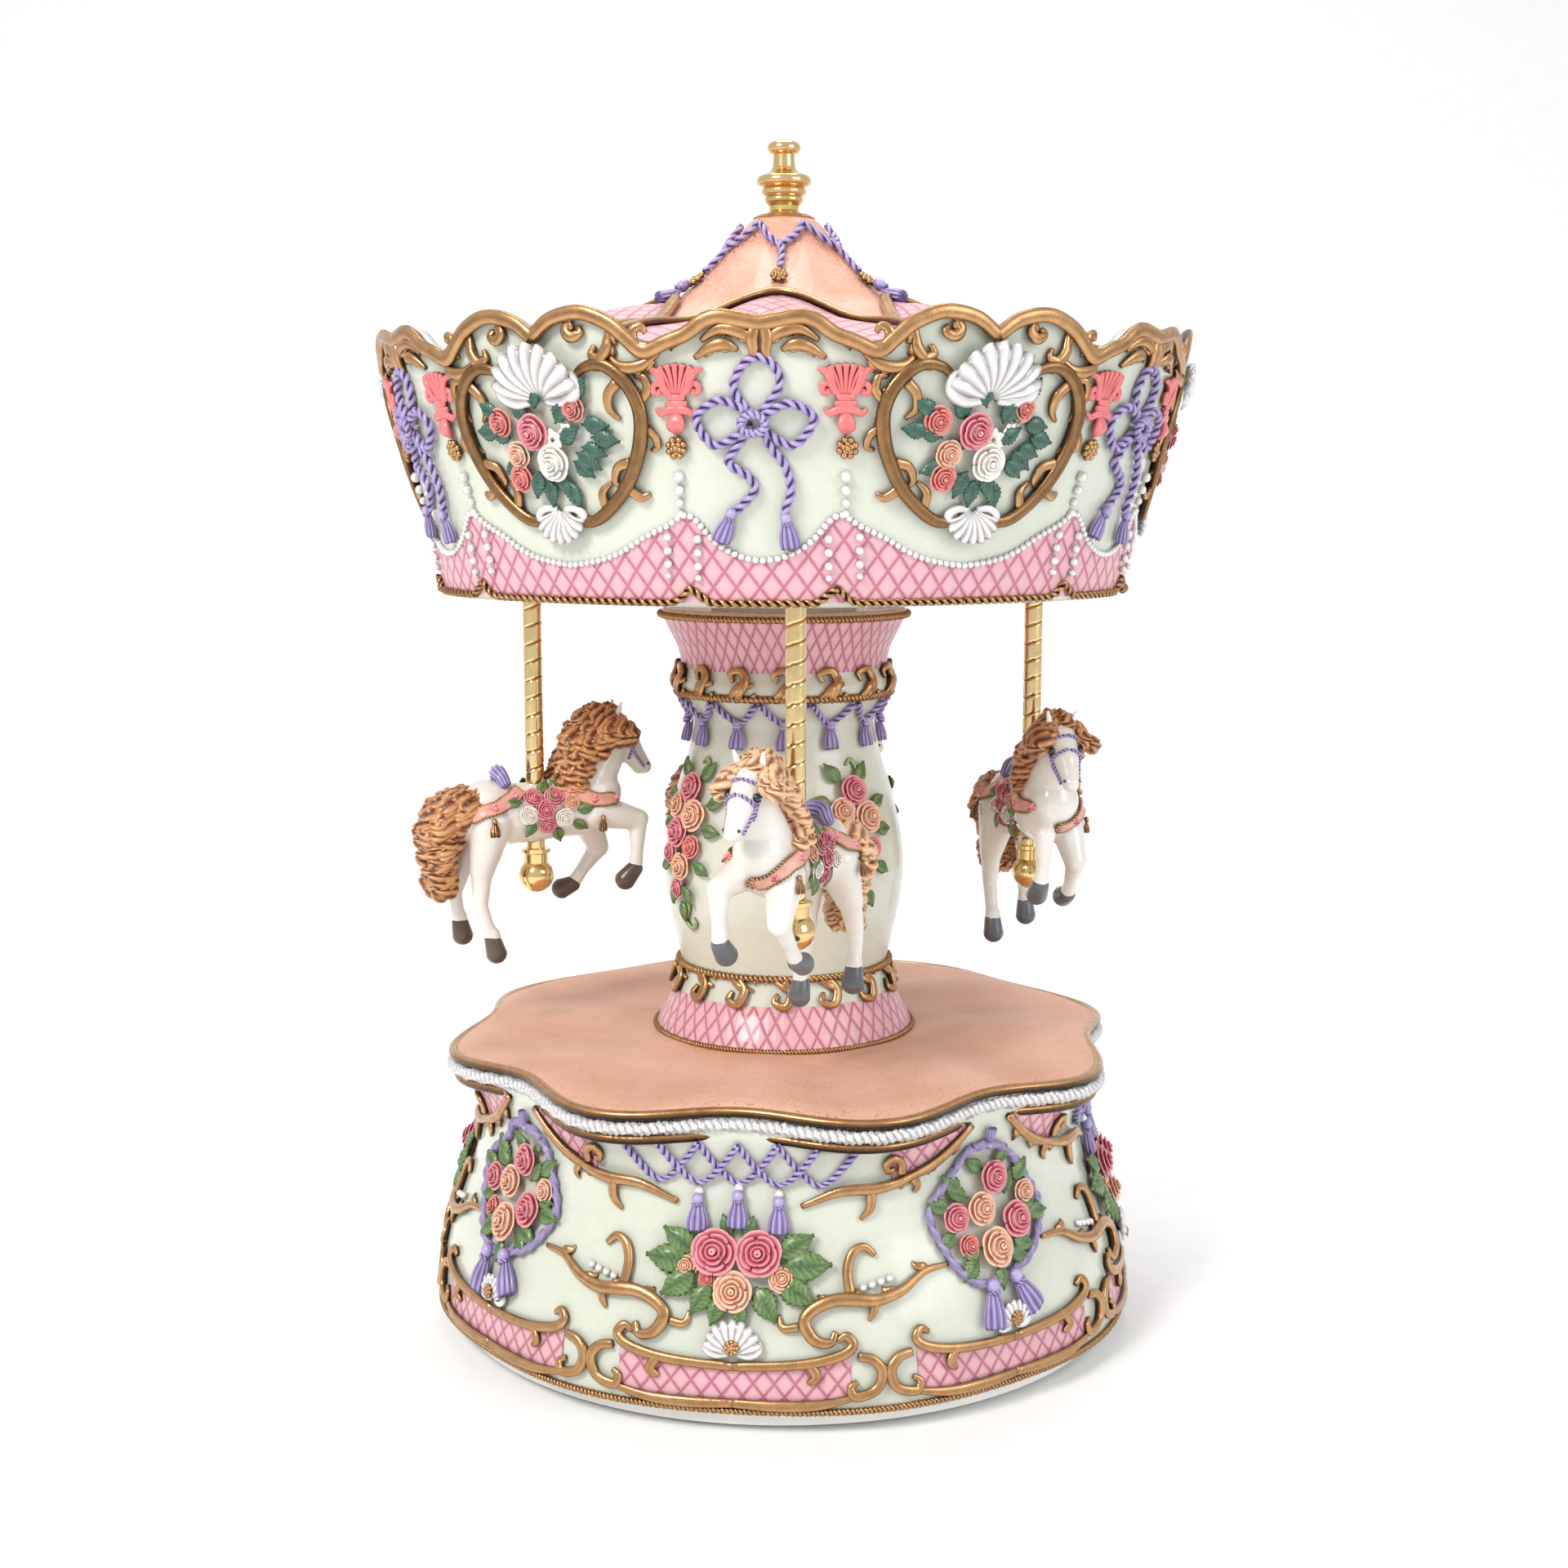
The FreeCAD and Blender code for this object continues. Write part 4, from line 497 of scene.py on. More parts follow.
def palmette():
    """A fan capital with volutes, bars, a bracket and a drop; its fan's base is at (0, 0)."""
    share = np.linspace(0, 1, 6)[:, None]
    side = np.linspace(-1, 1, 9)[None, :]
    fan = np.stack([side * (1.3 + 2.5 * share), 0.2 + 6.0 * share - 0.5 * side**2, 0.6 + 0 * side
                    + 0 * share], -1)
    # the fan's backing sheet gets a shading value of 0.05: painted shade between the lobes
    relief = slab(Relief(), fan, 0.6, np.full(fan.shape[:2], 0.05))
    for lobe in range(-2, 3):
        top = 7.0 - 0.15 * lobe * lobe
        stroke(relief, [(0.50 * lobe, 0.4), (1.00 * lobe, 3.6), (1.75 * lobe, top)],
               (0.26, 0.36, 0.62), 1.2, 0.9)
    for mirror in (-1, 1):
        for points, widths in (
                (((1.4, 0.3), (2.6, 2.0), (3.6, 4.6), (4.8, 5.6), (6.0, 5.6)), (0.5, 0.8, 0.3)),
                (((2.2, 0.6), (3.6, 2.8), (4.9, 2.4), (4.9, 1.0), (3.8, 0.8), (3.9, 1.7)),
                 (0.5, 0.6, 0.4)),
                (((0, -2.5), (1.8, -2.6), (3.4, -3.3), (4.7, -2.4)), (0.7, 0.8, 0.3))):
            stroke(relief, [(mirror * u, v) for u, v in points], widths, 1.0, 0.5)
    for height, half in ((0.0, 1.9), (-1.3, 2.4)):
        stroke(relief, [(-half, height), (0, height), (half, height)], (0.5, 0.65, 0.5), 1, 0.7)
    stroke(relief, [(0, -3.0), (0, -5.6), (0, -8.2)], (0.7, 1.8, 0.2), 0.7, 0.3)
    return relief


ROSES = [rose_head(seed) for seed in range(4)]
DAISY = daisy_head(6)
LEAF = leaf_blade()
SHELL = shell_fan()
SMALL_SHELL = shell_fan(8, 72)
TASSEL = tassel_drop()
ROSETTE = rosette()
PALMETTE = palmette()


# ---------------------------------------------------------------- materials


def nodes_of(name):
    """A new material and its node tree, with the shader's own node."""
    material = bpy.data.materials.new(name)
    material.use_nodes = True
    tree = material.node_tree
    return material, tree, tree.nodes["Principled BSDF"]


def noise_of(tree, size, detail=3.0, rough=0.55):
    """Noise in object space; size is in metres."""
    place = tree.nodes.new("ShaderNodeTexCoord")
    noise = tree.nodes.new("ShaderNodeTexNoise")
    noise.inputs["Scale"].default_value = 1 / size
    noise.inputs["Detail"].default_value = detail
    noise.inputs["Roughness"].default_value = rough
    tree.links.new(place.outputs["Object"], noise.inputs["Vector"])
    return noise.outputs["Fac"]


def ramp_of(tree, factor, stops):
    """A colour ramp through (position, colour) stops."""
    ramp = tree.nodes.new("ShaderNodeValToRGB")
    elements = ramp.color_ramp.elements
    while len(elements) < len(stops):
        elements.new(0.5)
    for element, (position, colour) in zip(elements, stops):
        element.position = position
        element.color = (*colour, 1) if len(colour) == 3 else colour
    tree.links.new(factor, ramp.inputs["Fac"])
    return ramp.outputs["Color"]


def painted_shading_of(tree, strength=1.0):
    """The painted shade and highlight value, broken up a little by noise."""
    painted_shading = tree.nodes.new("ShaderNodeAttribute")
    painted_shading.attribute_name = "painted_shading"
    eased = tree.nodes.new("ShaderNodeMath")
    eased.operation = "MULTIPLY"
    eased.inputs[1].default_value = 0.74
    tree.links.new(painted_shading.outputs["Fac"], eased.inputs[0])
    mixed = tree.nodes.new("ShaderNodeMath")
    mixed.operation = "MULTIPLY_ADD"
    mixed.inputs[1].default_value = 0.30 * strength
    tree.links.new(noise_of(tree, 0.0025), mixed.inputs[0])
    tree.links.new(eased.outputs[0], mixed.inputs[2])
    return mixed.outputs[0]


def bumped(tree, shader, height, strength, distance):
    """Feeds a height into the shader's normal."""
    bump = tree.nodes.new("ShaderNodeBump")
    bump.inputs["Strength"].default_value = strength
    bump.inputs["Distance"].default_value = distance
    tree.links.new(height, bump.inputs["Height"])
    tree.links.new(bump.outputs["Normal"], shader.inputs["Normal"])


def paint(name, dark, mid, light, rough=0.35, metallic=0.0, coat=0.3, grain=0.0008,
          relief=0.25, glitter=0.0):
    """Hand paint, with painted shade in crevices and painted highlight on edges, and a faint grain
    and glitter.
    """
    material, tree, shader = nodes_of(name)
    # the shading value picks the painted shade colour (dark) in crevices and the painted highlight
    # colour (light) on edges
    colour = ramp_of(tree, painted_shading_of(tree), ((0.18, dark), (0.62, mid), (1.0, light)))
    tree.links.new(colour, shader.inputs["Base Color"])
    shader.inputs["Metallic"].default_value = metallic
    shader.inputs["Coat Weight"].default_value = coat
    shader.inputs["Coat Roughness"].default_value = 0.15
    spread = ramp_of(tree, noise_of(tree, 0.004, 4.0),
                     ((0.3, (rough - 0.07,) * 3), (0.7, (rough + 0.09,) * 3)))
    tree.links.new(spread, shader.inputs["Roughness"])
    bumped(tree, shader, noise_of(tree, grain, 4.0), relief, 0.00012)
    if glitter:
        sparkle(tree, shader, glitter)
    return material


def sparkle(tree, shader, amount):
    """Tiny metal flakes: cells of a fine Voronoi pattern, a few of them bright."""
    place = tree.nodes.new("ShaderNodeTexCoord")
    cells = tree.nodes.new("ShaderNodeTexVoronoi")
    cells.inputs["Scale"].default_value = 2600
    tree.links.new(place.outputs["Object"], cells.inputs["Vector"])
    split = tree.nodes.new("ShaderNodeSeparateColor")
    tree.links.new(cells.outputs["Color"], split.inputs["Color"])
    flakes = ramp_of(tree, split.outputs["Red"],
                     ((1 - amount, (0, 0, 0)), (1 - amount + 0.02, (1, 1, 1))))
    tree.links.new(flakes, shader.inputs["Metallic"])


def plain_paint(name, low, high, rough, metallic=0.0, coat=0.0, size=0.01, grain=0.0009,
                relief=0.15, glitter=0.0):
    """A finish for surfaces with no painted shade or highlight, mottled between two near colours.
    """
    material, tree, shader = nodes_of(name)
    colour = ramp_of(tree, noise_of(tree, size, 5.0), ((0.3, low), (0.7, high)))
    tree.links.new(colour, shader.inputs["Base Color"])
    shader.inputs["Roughness"].default_value = rough
    shader.inputs["Metallic"].default_value = metallic
    shader.inputs["Coat Weight"].default_value = coat
    bumped(tree, shader, noise_of(tree, grain, 4.0), relief, 0.0001)
    if glitter:
        sparkle(tree, shader, glitter)
    return material


def math_node(tree, kind, *values):
    """A math node whose inputs are links or plain numbers."""
    node = tree.nodes.new("ShaderNodeMath")
    node.operation = kind
    for index, item in enumerate(values):
        if isinstance(item, (int, float)):
            node.inputs[index].default_value = item
        else:
            tree.links.new(item, node.inputs[index])
    return node.outputs[0]


def lattice_paint(name, field, edge, line):
    """Quilted diamonds: pink cushions with thin darker seams between them."""
    material, tree, shader = nodes_of(name)
    grid = tree.nodes.new("ShaderNodeUVMap")
    grid.uv_map = "cells"
    split = tree.nodes.new("ShaderNodeSeparateXYZ")
    tree.links.new(grid.outputs["UV"], split.inputs["Vector"])
    ways = []
    for kind in ("ADD", "SUBTRACT"):
        along = math_node(tree, kind, split.outputs["X"], split.outputs["Y"])
        ways.append(math_node(tree, "PINGPONG", along, 0.5))
    near = math_node(tree, "MINIMUM", *ways)
    broken = math_node(tree, "MULTIPLY_ADD", noise_of(tree, 0.002), 0.06, near)
    colour = ramp_of(tree, broken, ((0.055, edge), (0.085, edge), (0.12, line), (0.30, field)))
    tree.links.new(colour, shader.inputs["Base Color"])
    shader.inputs["Roughness"].default_value = 0.38
    shader.inputs["Coat Weight"].default_value = 0.25
    cushion = ramp_of(tree, near, ((0.0, (0.0,) * 3), (0.05, (0.15,) * 3), (0.14, (0.7,) * 3),
                                   (0.45, (1.0,) * 3)))
    bumped(tree, shader, cushion, 0.7, 0.0005)
    return material


CREAM = paint("cream_paint", (0.38, 0.35, 0.24), (0.60, 0.62, 0.51), (0.67, 0.70, 0.60),
              0.27, coat=0.5)
GOLD = paint("antique_gold_paint", (0.028, 0.013, 0.006), (0.21, 0.098, 0.036),
             (0.66, 0.38, 0.17), 0.29, 0.85, 0.15, 0.0005, 0.4)
BRASS = plain_paint("polished_brass_metal", (0.72, 0.50, 0.20), (0.86, 0.64, 0.30), 0.16, 1.0,
                    0.2, 0.02, 0.002, 0.04)
POLE_BRASS = paint("pole_brass_metal", (0.20, 0.11, 0.03), (0.78, 0.56, 0.24),
                   (0.90, 0.70, 0.36), 0.17, 1.0, 0.1, 0.002, 0.04)
PURPLE = paint("purple_rope_paint", (0.07, 0.05, 0.15), (0.27, 0.20, 0.44),
               (0.50, 0.42, 0.67), 0.38, 0.0, 0.25)
CORAL = paint("coral_paint", (0.24, 0.02, 0.03), (0.62, 0.11, 0.12), (0.80, 0.22, 0.21), 0.34)
ROSE_PINK = paint("pink_rose_paint", (0.36, 0.04, 0.07), (0.72, 0.19, 0.24),
                  (0.88, 0.44, 0.46), 0.40)
ROSE_PEACH = paint("peach_rose_paint", (0.50, 0.17, 0.09), (0.82, 0.45, 0.29),
                   (0.90, 0.66, 0.50), 0.40)
ROSE_CORAL = paint("coral_rose_paint", (0.38, 0.05, 0.05), (0.74, 0.19, 0.17),
                   (0.88, 0.40, 0.34), 0.40)
PETAL = paint("white_petal_paint", (0.58, 0.52, 0.42), (0.88, 0.84, 0.76),
              (0.95, 0.93, 0.88), 0.34)
LEAF_DARK = paint("dark_leaf_paint", (0.010, 0.045, 0.035), (0.045, 0.13, 0.09),
                  (0.20, 0.33, 0.20), 0.36, glitter=0.10)
LEAF_GREEN = paint("green_leaf_paint", (0.025, 0.06, 0.018), (0.13, 0.23, 0.07),
                   (0.38, 0.47, 0.20), 0.38, glitter=0.06)
PEARL = paint("pearl_lacquer", (0.30, 0.28, 0.27), (0.66, 0.64, 0.63), (0.82, 0.81, 0.80),
              0.20, 0.22, 0.8)
LATTICE = lattice_paint("pink_lattice_paint", (0.73, 0.41, 0.44), (0.50, 0.15, 0.22),
                        (0.68, 0.35, 0.38))
PEACH = plain_paint("peach_deck_paint", (0.63, 0.34, 0.23), (0.73, 0.45, 0.33), 0.6, 0.0, 0.0,
                    0.02, 0.0007, 0.7, 0.05)
ROOF_PEACH = plain_paint("peach_roof_paint", (0.66, 0.29, 0.19), (0.76, 0.42, 0.31), 0.5, 0.0,
                         0.2, 0.01, 0.0007, 0.7, 0.16)
WHITE_PLASTIC = plain_paint("white_plastic", (0.80, 0.79, 0.75), (0.86, 0.85, 0.81), 0.42)
GEAR_BRASS = plain_paint("gear_brass_metal", (0.62, 0.44, 0.19), (0.76, 0.57, 0.27), 0.3, 1.0,
                         0.0, 0.008, 0.0005, 0.2)
STEEL = plain_paint("spring_steel_metal", (0.42, 0.42, 0.44), (0.56, 0.56, 0.58), 0.28, 1.0,
                    0.0, 0.006, 0.0004, 0.2)
SCREW = plain_paint("zinc_screw_metal", (0.50, 0.50, 0.52), (0.66, 0.66, 0.68), 0.34, 1.0)
FELT = plain_paint("felt_cloth", (0.20, 0.14, 0.14), (0.33, 0.25, 0.25), 0.95, 0.0, 0.0,
                   0.003, 0.0004, 1.0)


# ---------------------------------------------------------------- surfaces to dress


class Surface:
    """A turned surface with shallow ripples, on which relief is wrapped."""

    def __init__(self, radius, parts=1, phase=0.0, wave=((0, 0), (400, 0))):
        self.radius = Table(radius)
        self.wave = Table(wave)
        self.parts, self.phase = parts, phase

    def ripple(self, angle, z):
        """How far the surface stands out of its mean radius."""
        return -self.wave(z) * np.cos(np.radians(self.parts * (angle - self.phase)))

    def wrap(self, angle):
        """The mapping from flat (u, v, w) round a motif's centre angle into space."""
        def mapping(points):
            u, v, w = points[..., 0], points[..., 1], points[..., 2]
            radius = self.radius(v)
            turn = math.radians(angle) + u / radius
            slope = self.radius.slope(v)
            lean = 1 / np.sqrt(1 + slope**2)
            reach = radius + self.ripple(np.degrees(turn), v) + w * lean
            return np.stack([reach * np.sin(turn), -reach * np.cos(turn),
                             v - w * slope * lean], -1)
        return mapping

    def skin(self, low, high, rows, columns, lift=0.0, painted_shading=0.8):
        """The whole surface between two heights, as a closed ring."""
        v = np.linspace(low, high, rows)[:, None]
        turn = np.linspace(0, 360, columns, endpoint=False)[None, :]
        radius = self.radius(v)
        points = np.stack([np.radians(turn) * radius, v + 0 * turn, lift + 0 * v + 0 * turn], -1)
        return Relief().grid(self.wrap(0)(points), painted_shading, closed=True)


FASCIA = Surface(((188, 86.6), (191, 87.4), (196, 88.5), (210, 91), (225, 95), (240, 99),
                  (252, 101), (262, 102)), CANOPY_SIDES, BOW_PHASE + 30, ((180, 0.9), (270, 0.9)))
WALL = Surface(((0, 91), (5, 91.3), (12, 91), (24, 89), (44, 82), (55, 79.8), (58, 79.5),
                (64, 81.2), (69, 83), (75, 84)), BASE_PANELS, MOTIF_PHASE,
               ((0, 0.5), (24, 0.7), (44, 0.9), (58, 1.2), (66, 1.6), (75, 4)))
COLUMN = Surface(((74, 34.6), (78, 33.0), (84, 30.0), (88, 28.6), (93, 27.4), (100, 28.8),
                  (112, 31.2), (124, 31.4), (138, 28.6), (150, 25.0), (158, 23.9),
                  (163, 26.5), (167, 28.2), (171, 26.8), (176, 27.4), (182, 30.2),
                  (186, 32.2)))


def lattice(relief, surface, angle, low, high, left, right, cell, lift=0.28, columns=48,
            rows=14):
    """A quilted patch between two heights given as functions of u."""
    u = np.linspace(left, right, columns)[None, :]
    share = np.linspace(0, 1, rows)[:, None]
    bottom, top = low(u), high(u)
    v = bottom + (top - bottom) * share
    points = np.stack([u + 0 * v, v, lift + 0 * v], -1)
    cells = np.stack([points[..., 0] / cell[0], points[..., 1] / cell[1]], -1)
    relief.grid(surface.wrap(angle)(points), 0.8, cells=cells)
    return relief


def quilt_ring(relief, surface, low, high, around, height):
    """A quilted band right round a surface, a whole number of cells around."""
    turn = np.linspace(-math.pi, math.pi, 241)[None, :]
    v = np.linspace(low, high, 16)[:, None]
    points = np.stack([turn * surface.radius(v), v + 0 * turn, 0.3 + 0 * v + 0 * turn], -1)
    cells = np.stack([turn / (2 * math.pi) * around + 0 * v, v / height + 0 * turn], -1)
    return relief.grid(surface.wrap(0)(points), 0.8, cells=cells)


def dress(surface, angles, drawing, name, body, material, slot):
    """Wraps one flat drawing round a surface at each angle, as one piece."""
    relief = Relief()
    for angle in angles:
        relief.add(drawing, surface.wrap(angle))
    return relief.piece(name, body, material, slot)


def both(points):
    """A half drawing's points and their mirror image in u."""
    points = [tuple(point) for point in points]
    return points, [(-point[0],) + point[1:] for point in points]


def flat_line(points, lift, per_span=8):
    """A smooth (u, v) line lifted to a height, as (u, v, w)."""
    line = smooth_line(np.asarray(points, float), per_span)
    return np.column_stack([line[:, 0], line[:, 1], np.full(len(line), lift)])


# ---------------------------------------------------------------- canopy

BOWS = [BOW_PHASE + 60 * side for side in range(CANOPY_SIDES)]
CARTOUCHES = [angle + 30 for angle in BOWS]
CANOPY_RIM = node_floor("canopy_rounding_board")
# half a panel's width in millimetres at the crest, and the radius it is measured at
HALF_PANEL = 52.9
PANEL_RADIUS = HALF_PANEL / math.radians(180 / CANOPY_SIDES)
CREST = Table(((0, 252.6), (4, 253.3), (8.5, 254.0), (12, 253.0), (15.4, 250.6), (20, 248.9),
               (25, 247.2), (29, 250.2), (33, 253.2), (39.9, 255.6), (47.6, 254.4),
               (52.9, 250.7)))
SWAG = Table(((0, 202.0), (4.2, 202.6), (8.7, 204.3), (12.6, 207.0), (18, 212.0),
              (24, 209.4), (30.9, 206.6), (35.4, 204.3), (40.9, 202.3), (47.9, 201.0),
              (52.9, 200.5)))


def panel_u(turn):
    """Millimetres from the nearest bow centre, never negative, at angles in degrees."""
    return np.abs(fold(turn, BOW_PHASE, CANOPY_SIDES)) * HALF_PANEL / 30


def build_fascia():
    """The rounding board: scrolled crest, outer face, lower lip and the face behind."""
    turn = np.linspace(0, 360, 900, endpoint=False)[None, :]
    crest = CREST(panel_u(turn))
    share = np.linspace(0, 1, 40)[:, None]
    v = CANOPY_RIM + (crest - CANOPY_RIM) * share
    outer = FASCIA.wrap(0)(np.stack([np.radians(turn) * FASCIA.radius(v), v, 0 * v], -1))
    back = outer[-1:].copy()
    back[..., :2] *= 0.972
    foot = back.copy()
    foot[..., 2] = 246.0
    lip = outer[:1].copy()
    lip[..., :2] *= 0.955
    lip[..., 2] += 2.4
    grid = np.concatenate([lip, outer, back, foot])
    Relief().grid(grid, 0.8, closed=True).piece(
        "fascia_skin", "carousel", CREAM, "cream_resin")


def panel_line(across, height, lift):
    """A line over one canopy panel; across counts millimetres at the crest's radius."""
    height = height + 0 * across
    return np.column_stack([across * FASCIA.radius(height) / PANEL_RADIUS, height,
                            np.full(len(across), lift)])


SKIRT_FLOOR = 192.6
SKIRT_CELLS = 108
SKIRT_CELL_HEIGHT = 7.0


def build_fascia_lattice():
    """The pink quilted skirt under the pearl swags, right round the canopy."""
    turn = np.linspace(-180, 180, 901)[None, :]
    share = np.linspace(0, 1, 12)[:, None]
    v = SKIRT_FLOOR + (SWAG(panel_u(turn)) - SKIRT_FLOOR) * share
    points = np.stack([np.radians(turn) * FASCIA.radius(v), v, 0.3 + 0 * v], -1)
    cells = np.stack([turn * SKIRT_CELLS / 360 + 0 * v, v / SKIRT_CELL_HEIGHT], -1)
    relief = Relief().grid(FASCIA.wrap(0)(points), 0.8, cells=cells)
    relief.piece("fascia_lattice", "carousel", LATTICE, "pink_resin")


def crest_scrolls():
    """Gold scrolls along the crest of one panel, from cartouche to cartouche."""
    relief = Relief()
    crest = np.linspace(-HALF_PANEL, HALF_PANEL, 64)
    line = np.column_stack([crest, CREST(np.abs(crest)) - 0.3])
    stroke(relief, line, (1.45,) * 6, 0.9, 0.3, 3)
    right_curls = (
        ((15.4, 250.4), (20.0, 248.6), (24.0, 247.6), (27.0, 248.6), (27.4, 251.0),
         (25.6, 251.9), (24.6, 250.5)),
        ((33.0, 252.8), (33.4, 249.6), (33.7, 247.6), (35.4, 245.6), (37.6, 246.4),
         (37.0, 248.2)),
        ((42.6, 254.6), (43.9, 251.8), (42.4, 250.2), (40.4, 251.0), (41.0, 252.4)),
        ((1.1, 247.5), (3.6, 250.2), (8.2, 251.2), (12.4, 248.8)),
        ((4.6, 246.8), (7.4, 248.0), (10.4, 247.4), (13.8, 245.2)),
        ((22.0, 246.2), (26.0, 243.8), (30.6, 243.8), (33.6, 246.0)),
    )
    for curl in right_curls:
        for line, side in zip(both(curl), (-1, 1)):
            acanthus(relief, line, (0.5, 1.15, 1.05, 0.5), side, 3, 0.85)
    for line in both(((0.3, 253.0), (1.5, 249.6), (1.3, 246.6), (2.4, 243.6))):
        stroke(relief, line, (0.8, 1.15, 0.9, 0.25), 1.0, 0.5)
    return relief


def bow_rope():
    """The purple bow: knot, three loops and two tails."""
    relief = Relief()
    loops = (
        ((-1.5, 233), (-5.6, 238.8), (-3.5, 243.8), (-0.3, 245.4), (3, 243.6), (4, 239.3),
         (-0.5, 233)),
        ((-2, 233.2), (-5, 235.5), (-9.3, 236.5), (-13.7, 232.7), (-10.2, 227.3),
         (-6, 228.6), (-2, 231.5)),
        ((0, 233), (4, 235.4), (7.2, 235.8), (11.2, 232.7), (6.5, 227.2), (0, 231)),
        ((-2, 231), (-5, 227), (-7, 223.4), (-3.2, 220.9), (-1.4, 217.8), (-4.6, 214),
         (-6.2, 212.6)),
        ((0, 231), (2, 227), (5, 222.8), (6.2, 217.8), (4.9, 213.4), (4.9, 211.6)),
    )
    for index, loop in enumerate(loops):
        rope(relief, flat_line(loop, 1.1 + 0.25 * (index % 3)), 1.12)
    ring = [(-1.5 + 2.6 * math.cos(a), 232 + 2.0 * math.sin(a))
            for a in np.linspace(0, 2 * math.pi, 9)[:-1]]
    line = smooth_line(np.array(ring), 6, closed=True)
    rope(relief, np.column_stack([line, np.full(len(line), 3.0)]), 1.1, closed=True)
    relief.add(TASSEL, at(-6.2, 213.4, 0.7, -22, 7.6))
    relief.add(TASSEL, at(4.9, 212.4, 0.7, 8, 7.6))
    return relief


def cartouche_frame():
    """The gold frame round a canopy bouquet, centred on the cartouche."""
    relief = Relief()
    half_lines = (
        (((8.6, 240.4), (12.3, 243.6), (17.8, 244.2), (22.8, 240.4), (25.0, 234.5),
          (23.6, 227.3), (20.0, 220.3), (15.3, 215.0), (9.6, 211.0), (5.0, 210.8),
          (3.5, 213.2)), (0.6, 1.2, 1.4, 1.4, 1.3, 1.2, 0.7)),
        (((20.5, 240.5), (18.0, 238.0), (17.6, 234.8), (19.5, 232.6)), (1.1, 1.0, 0.4)),
        (((20.6, 223.5), (17.4, 222.6), (15.8, 219.6), (17.2, 217.6)), (1.1, 0.9, 0.4)),
        (((12.5, 213.8), (12.2, 217.0), (14.6, 219.2)), (1.0, 0.9, 0.4)),
        (((18.5, 218.2), (21.5, 216.0), (23.6, 216.6)), (1.0, 0.9, 0.5)),
        (((24.6, 236.0), (27.2, 238.6), (26.8, 241.4), (24.8, 241.6)), (0.9, 0.9, 0.5)),
        (((24.4, 231.0), (27.0, 229.4), (27.4, 226.8), (25.6, 226.0)), (0.9, 0.8, 0.4)),
    )
    for index, (points, widths) in enumerate(half_lines):
        for line, side in zip(both(points), (1, -1)):
            if index == 0:
                acanthus(relief, line, widths, side, 7, 0.9)
                acanthus(relief, line, widths, -side, 5, 0.75)
            else:
                stroke(relief, line, widths, 1.0, 0.35)
    return relief


def bouquet(flowers, leaves, petals=()):
    """Roses, leaves and daisies sorted by paint; flowers are (u, v, radius, paint)."""
    groups = {}
    for index, (u, v, radius, kind) in enumerate(flowers):
        relief = groups.setdefault(kind, Relief())
        relief.add(ROSES[index % len(ROSES)],
                   at(u, v, 0.5 + 0.28 * radius, index * 47, 1.22 * radius))
    for index, (u, v, turn, length) in enumerate(leaves):
        relief = groups.setdefault("leaf", Relief())
        relief.add(LEAF, at(u, v, 0.7 + 0.25 * (index % 3), turn, 1.22 * length))
    for index, (u, v, radius) in enumerate(petals):
        groups.setdefault("petal", Relief()).add(DAISY, at(u, v, 1.6, index * 30, radius))
    return groups


FLOWER_PAINT = {
    "pink": (ROSE_PINK, "rose_pink"),
    "peach": (ROSE_PEACH, "rose_peach"),
    "coral": (ROSE_CORAL, "rose_pink"),
    "white": (PETAL, "petal_white"),
    "petal": (PETAL, "petal_white"),
    "leaf": (LEAF_GREEN, "leaf_green"),
    "dark_leaf": (LEAF_DARK, "leaf_green"),
}


def plant(groups, surface, angles, prefix, body, leaf_kind="leaf"):
    """Wraps a bouquet's groups round a surface, one piece for each paint."""
    for kind, drawing in groups.items():
        material, slot = FLOWER_PAINT[leaf_kind if kind == "leaf" else kind]
        dress(surface, angles, drawing, f"{prefix}_{kind}", body, material, slot)


CANOPY_BOUQUET = bouquet(
    ((-3.0, 230.6, 3.4, "pink"), (-12.4, 232.7, 2.7, "coral"), (8.6, 235.5, 2.5, "coral"),
     (1.3, 223.9, 3.4, "white"), (-8.6, 225.6, 2.6, "peach"), (-9.1, 220.4, 2.6, "coral")),
    ((-5.6, 232.5, 20, 5.2), (-10.6, 229.0, 70, 5.0), (3.6, 232.3, -30, 5.4),
     (10.2, 232.0, -95, 5.2), (9.2, 227.2, -110, 5.0), (3.6, 228.2, -60, 5.0),
     (1.6, 221.5, -160, 5.0), (-1.2, 220.0, 175, 5.0), (-13.0, 234.0, 60, 4.8),
     (-9.0, 223.4, 110, 4.8), (6.4, 224.2, -130, 4.8), (9.4, 237.4, -35, 4.6),
     (-4.6, 227.0, 100, 5.4), (5.2, 233.6, -70, 5.6), (-1.2, 235.6, 15, 5.4),
     (12.0, 229.2, -100, 5.4), (7.6, 226.0, -125, 5.4), (-3.6, 222.0, 160, 5.2),
     (3.8, 219.6, -165, 5.2), (-7.2, 236.2, 35, 5.0), (-14.2, 230.4, 85, 5.0)),
    ((1.9, 228.7, 2.7), (6.0, 230.6, 1.9)))


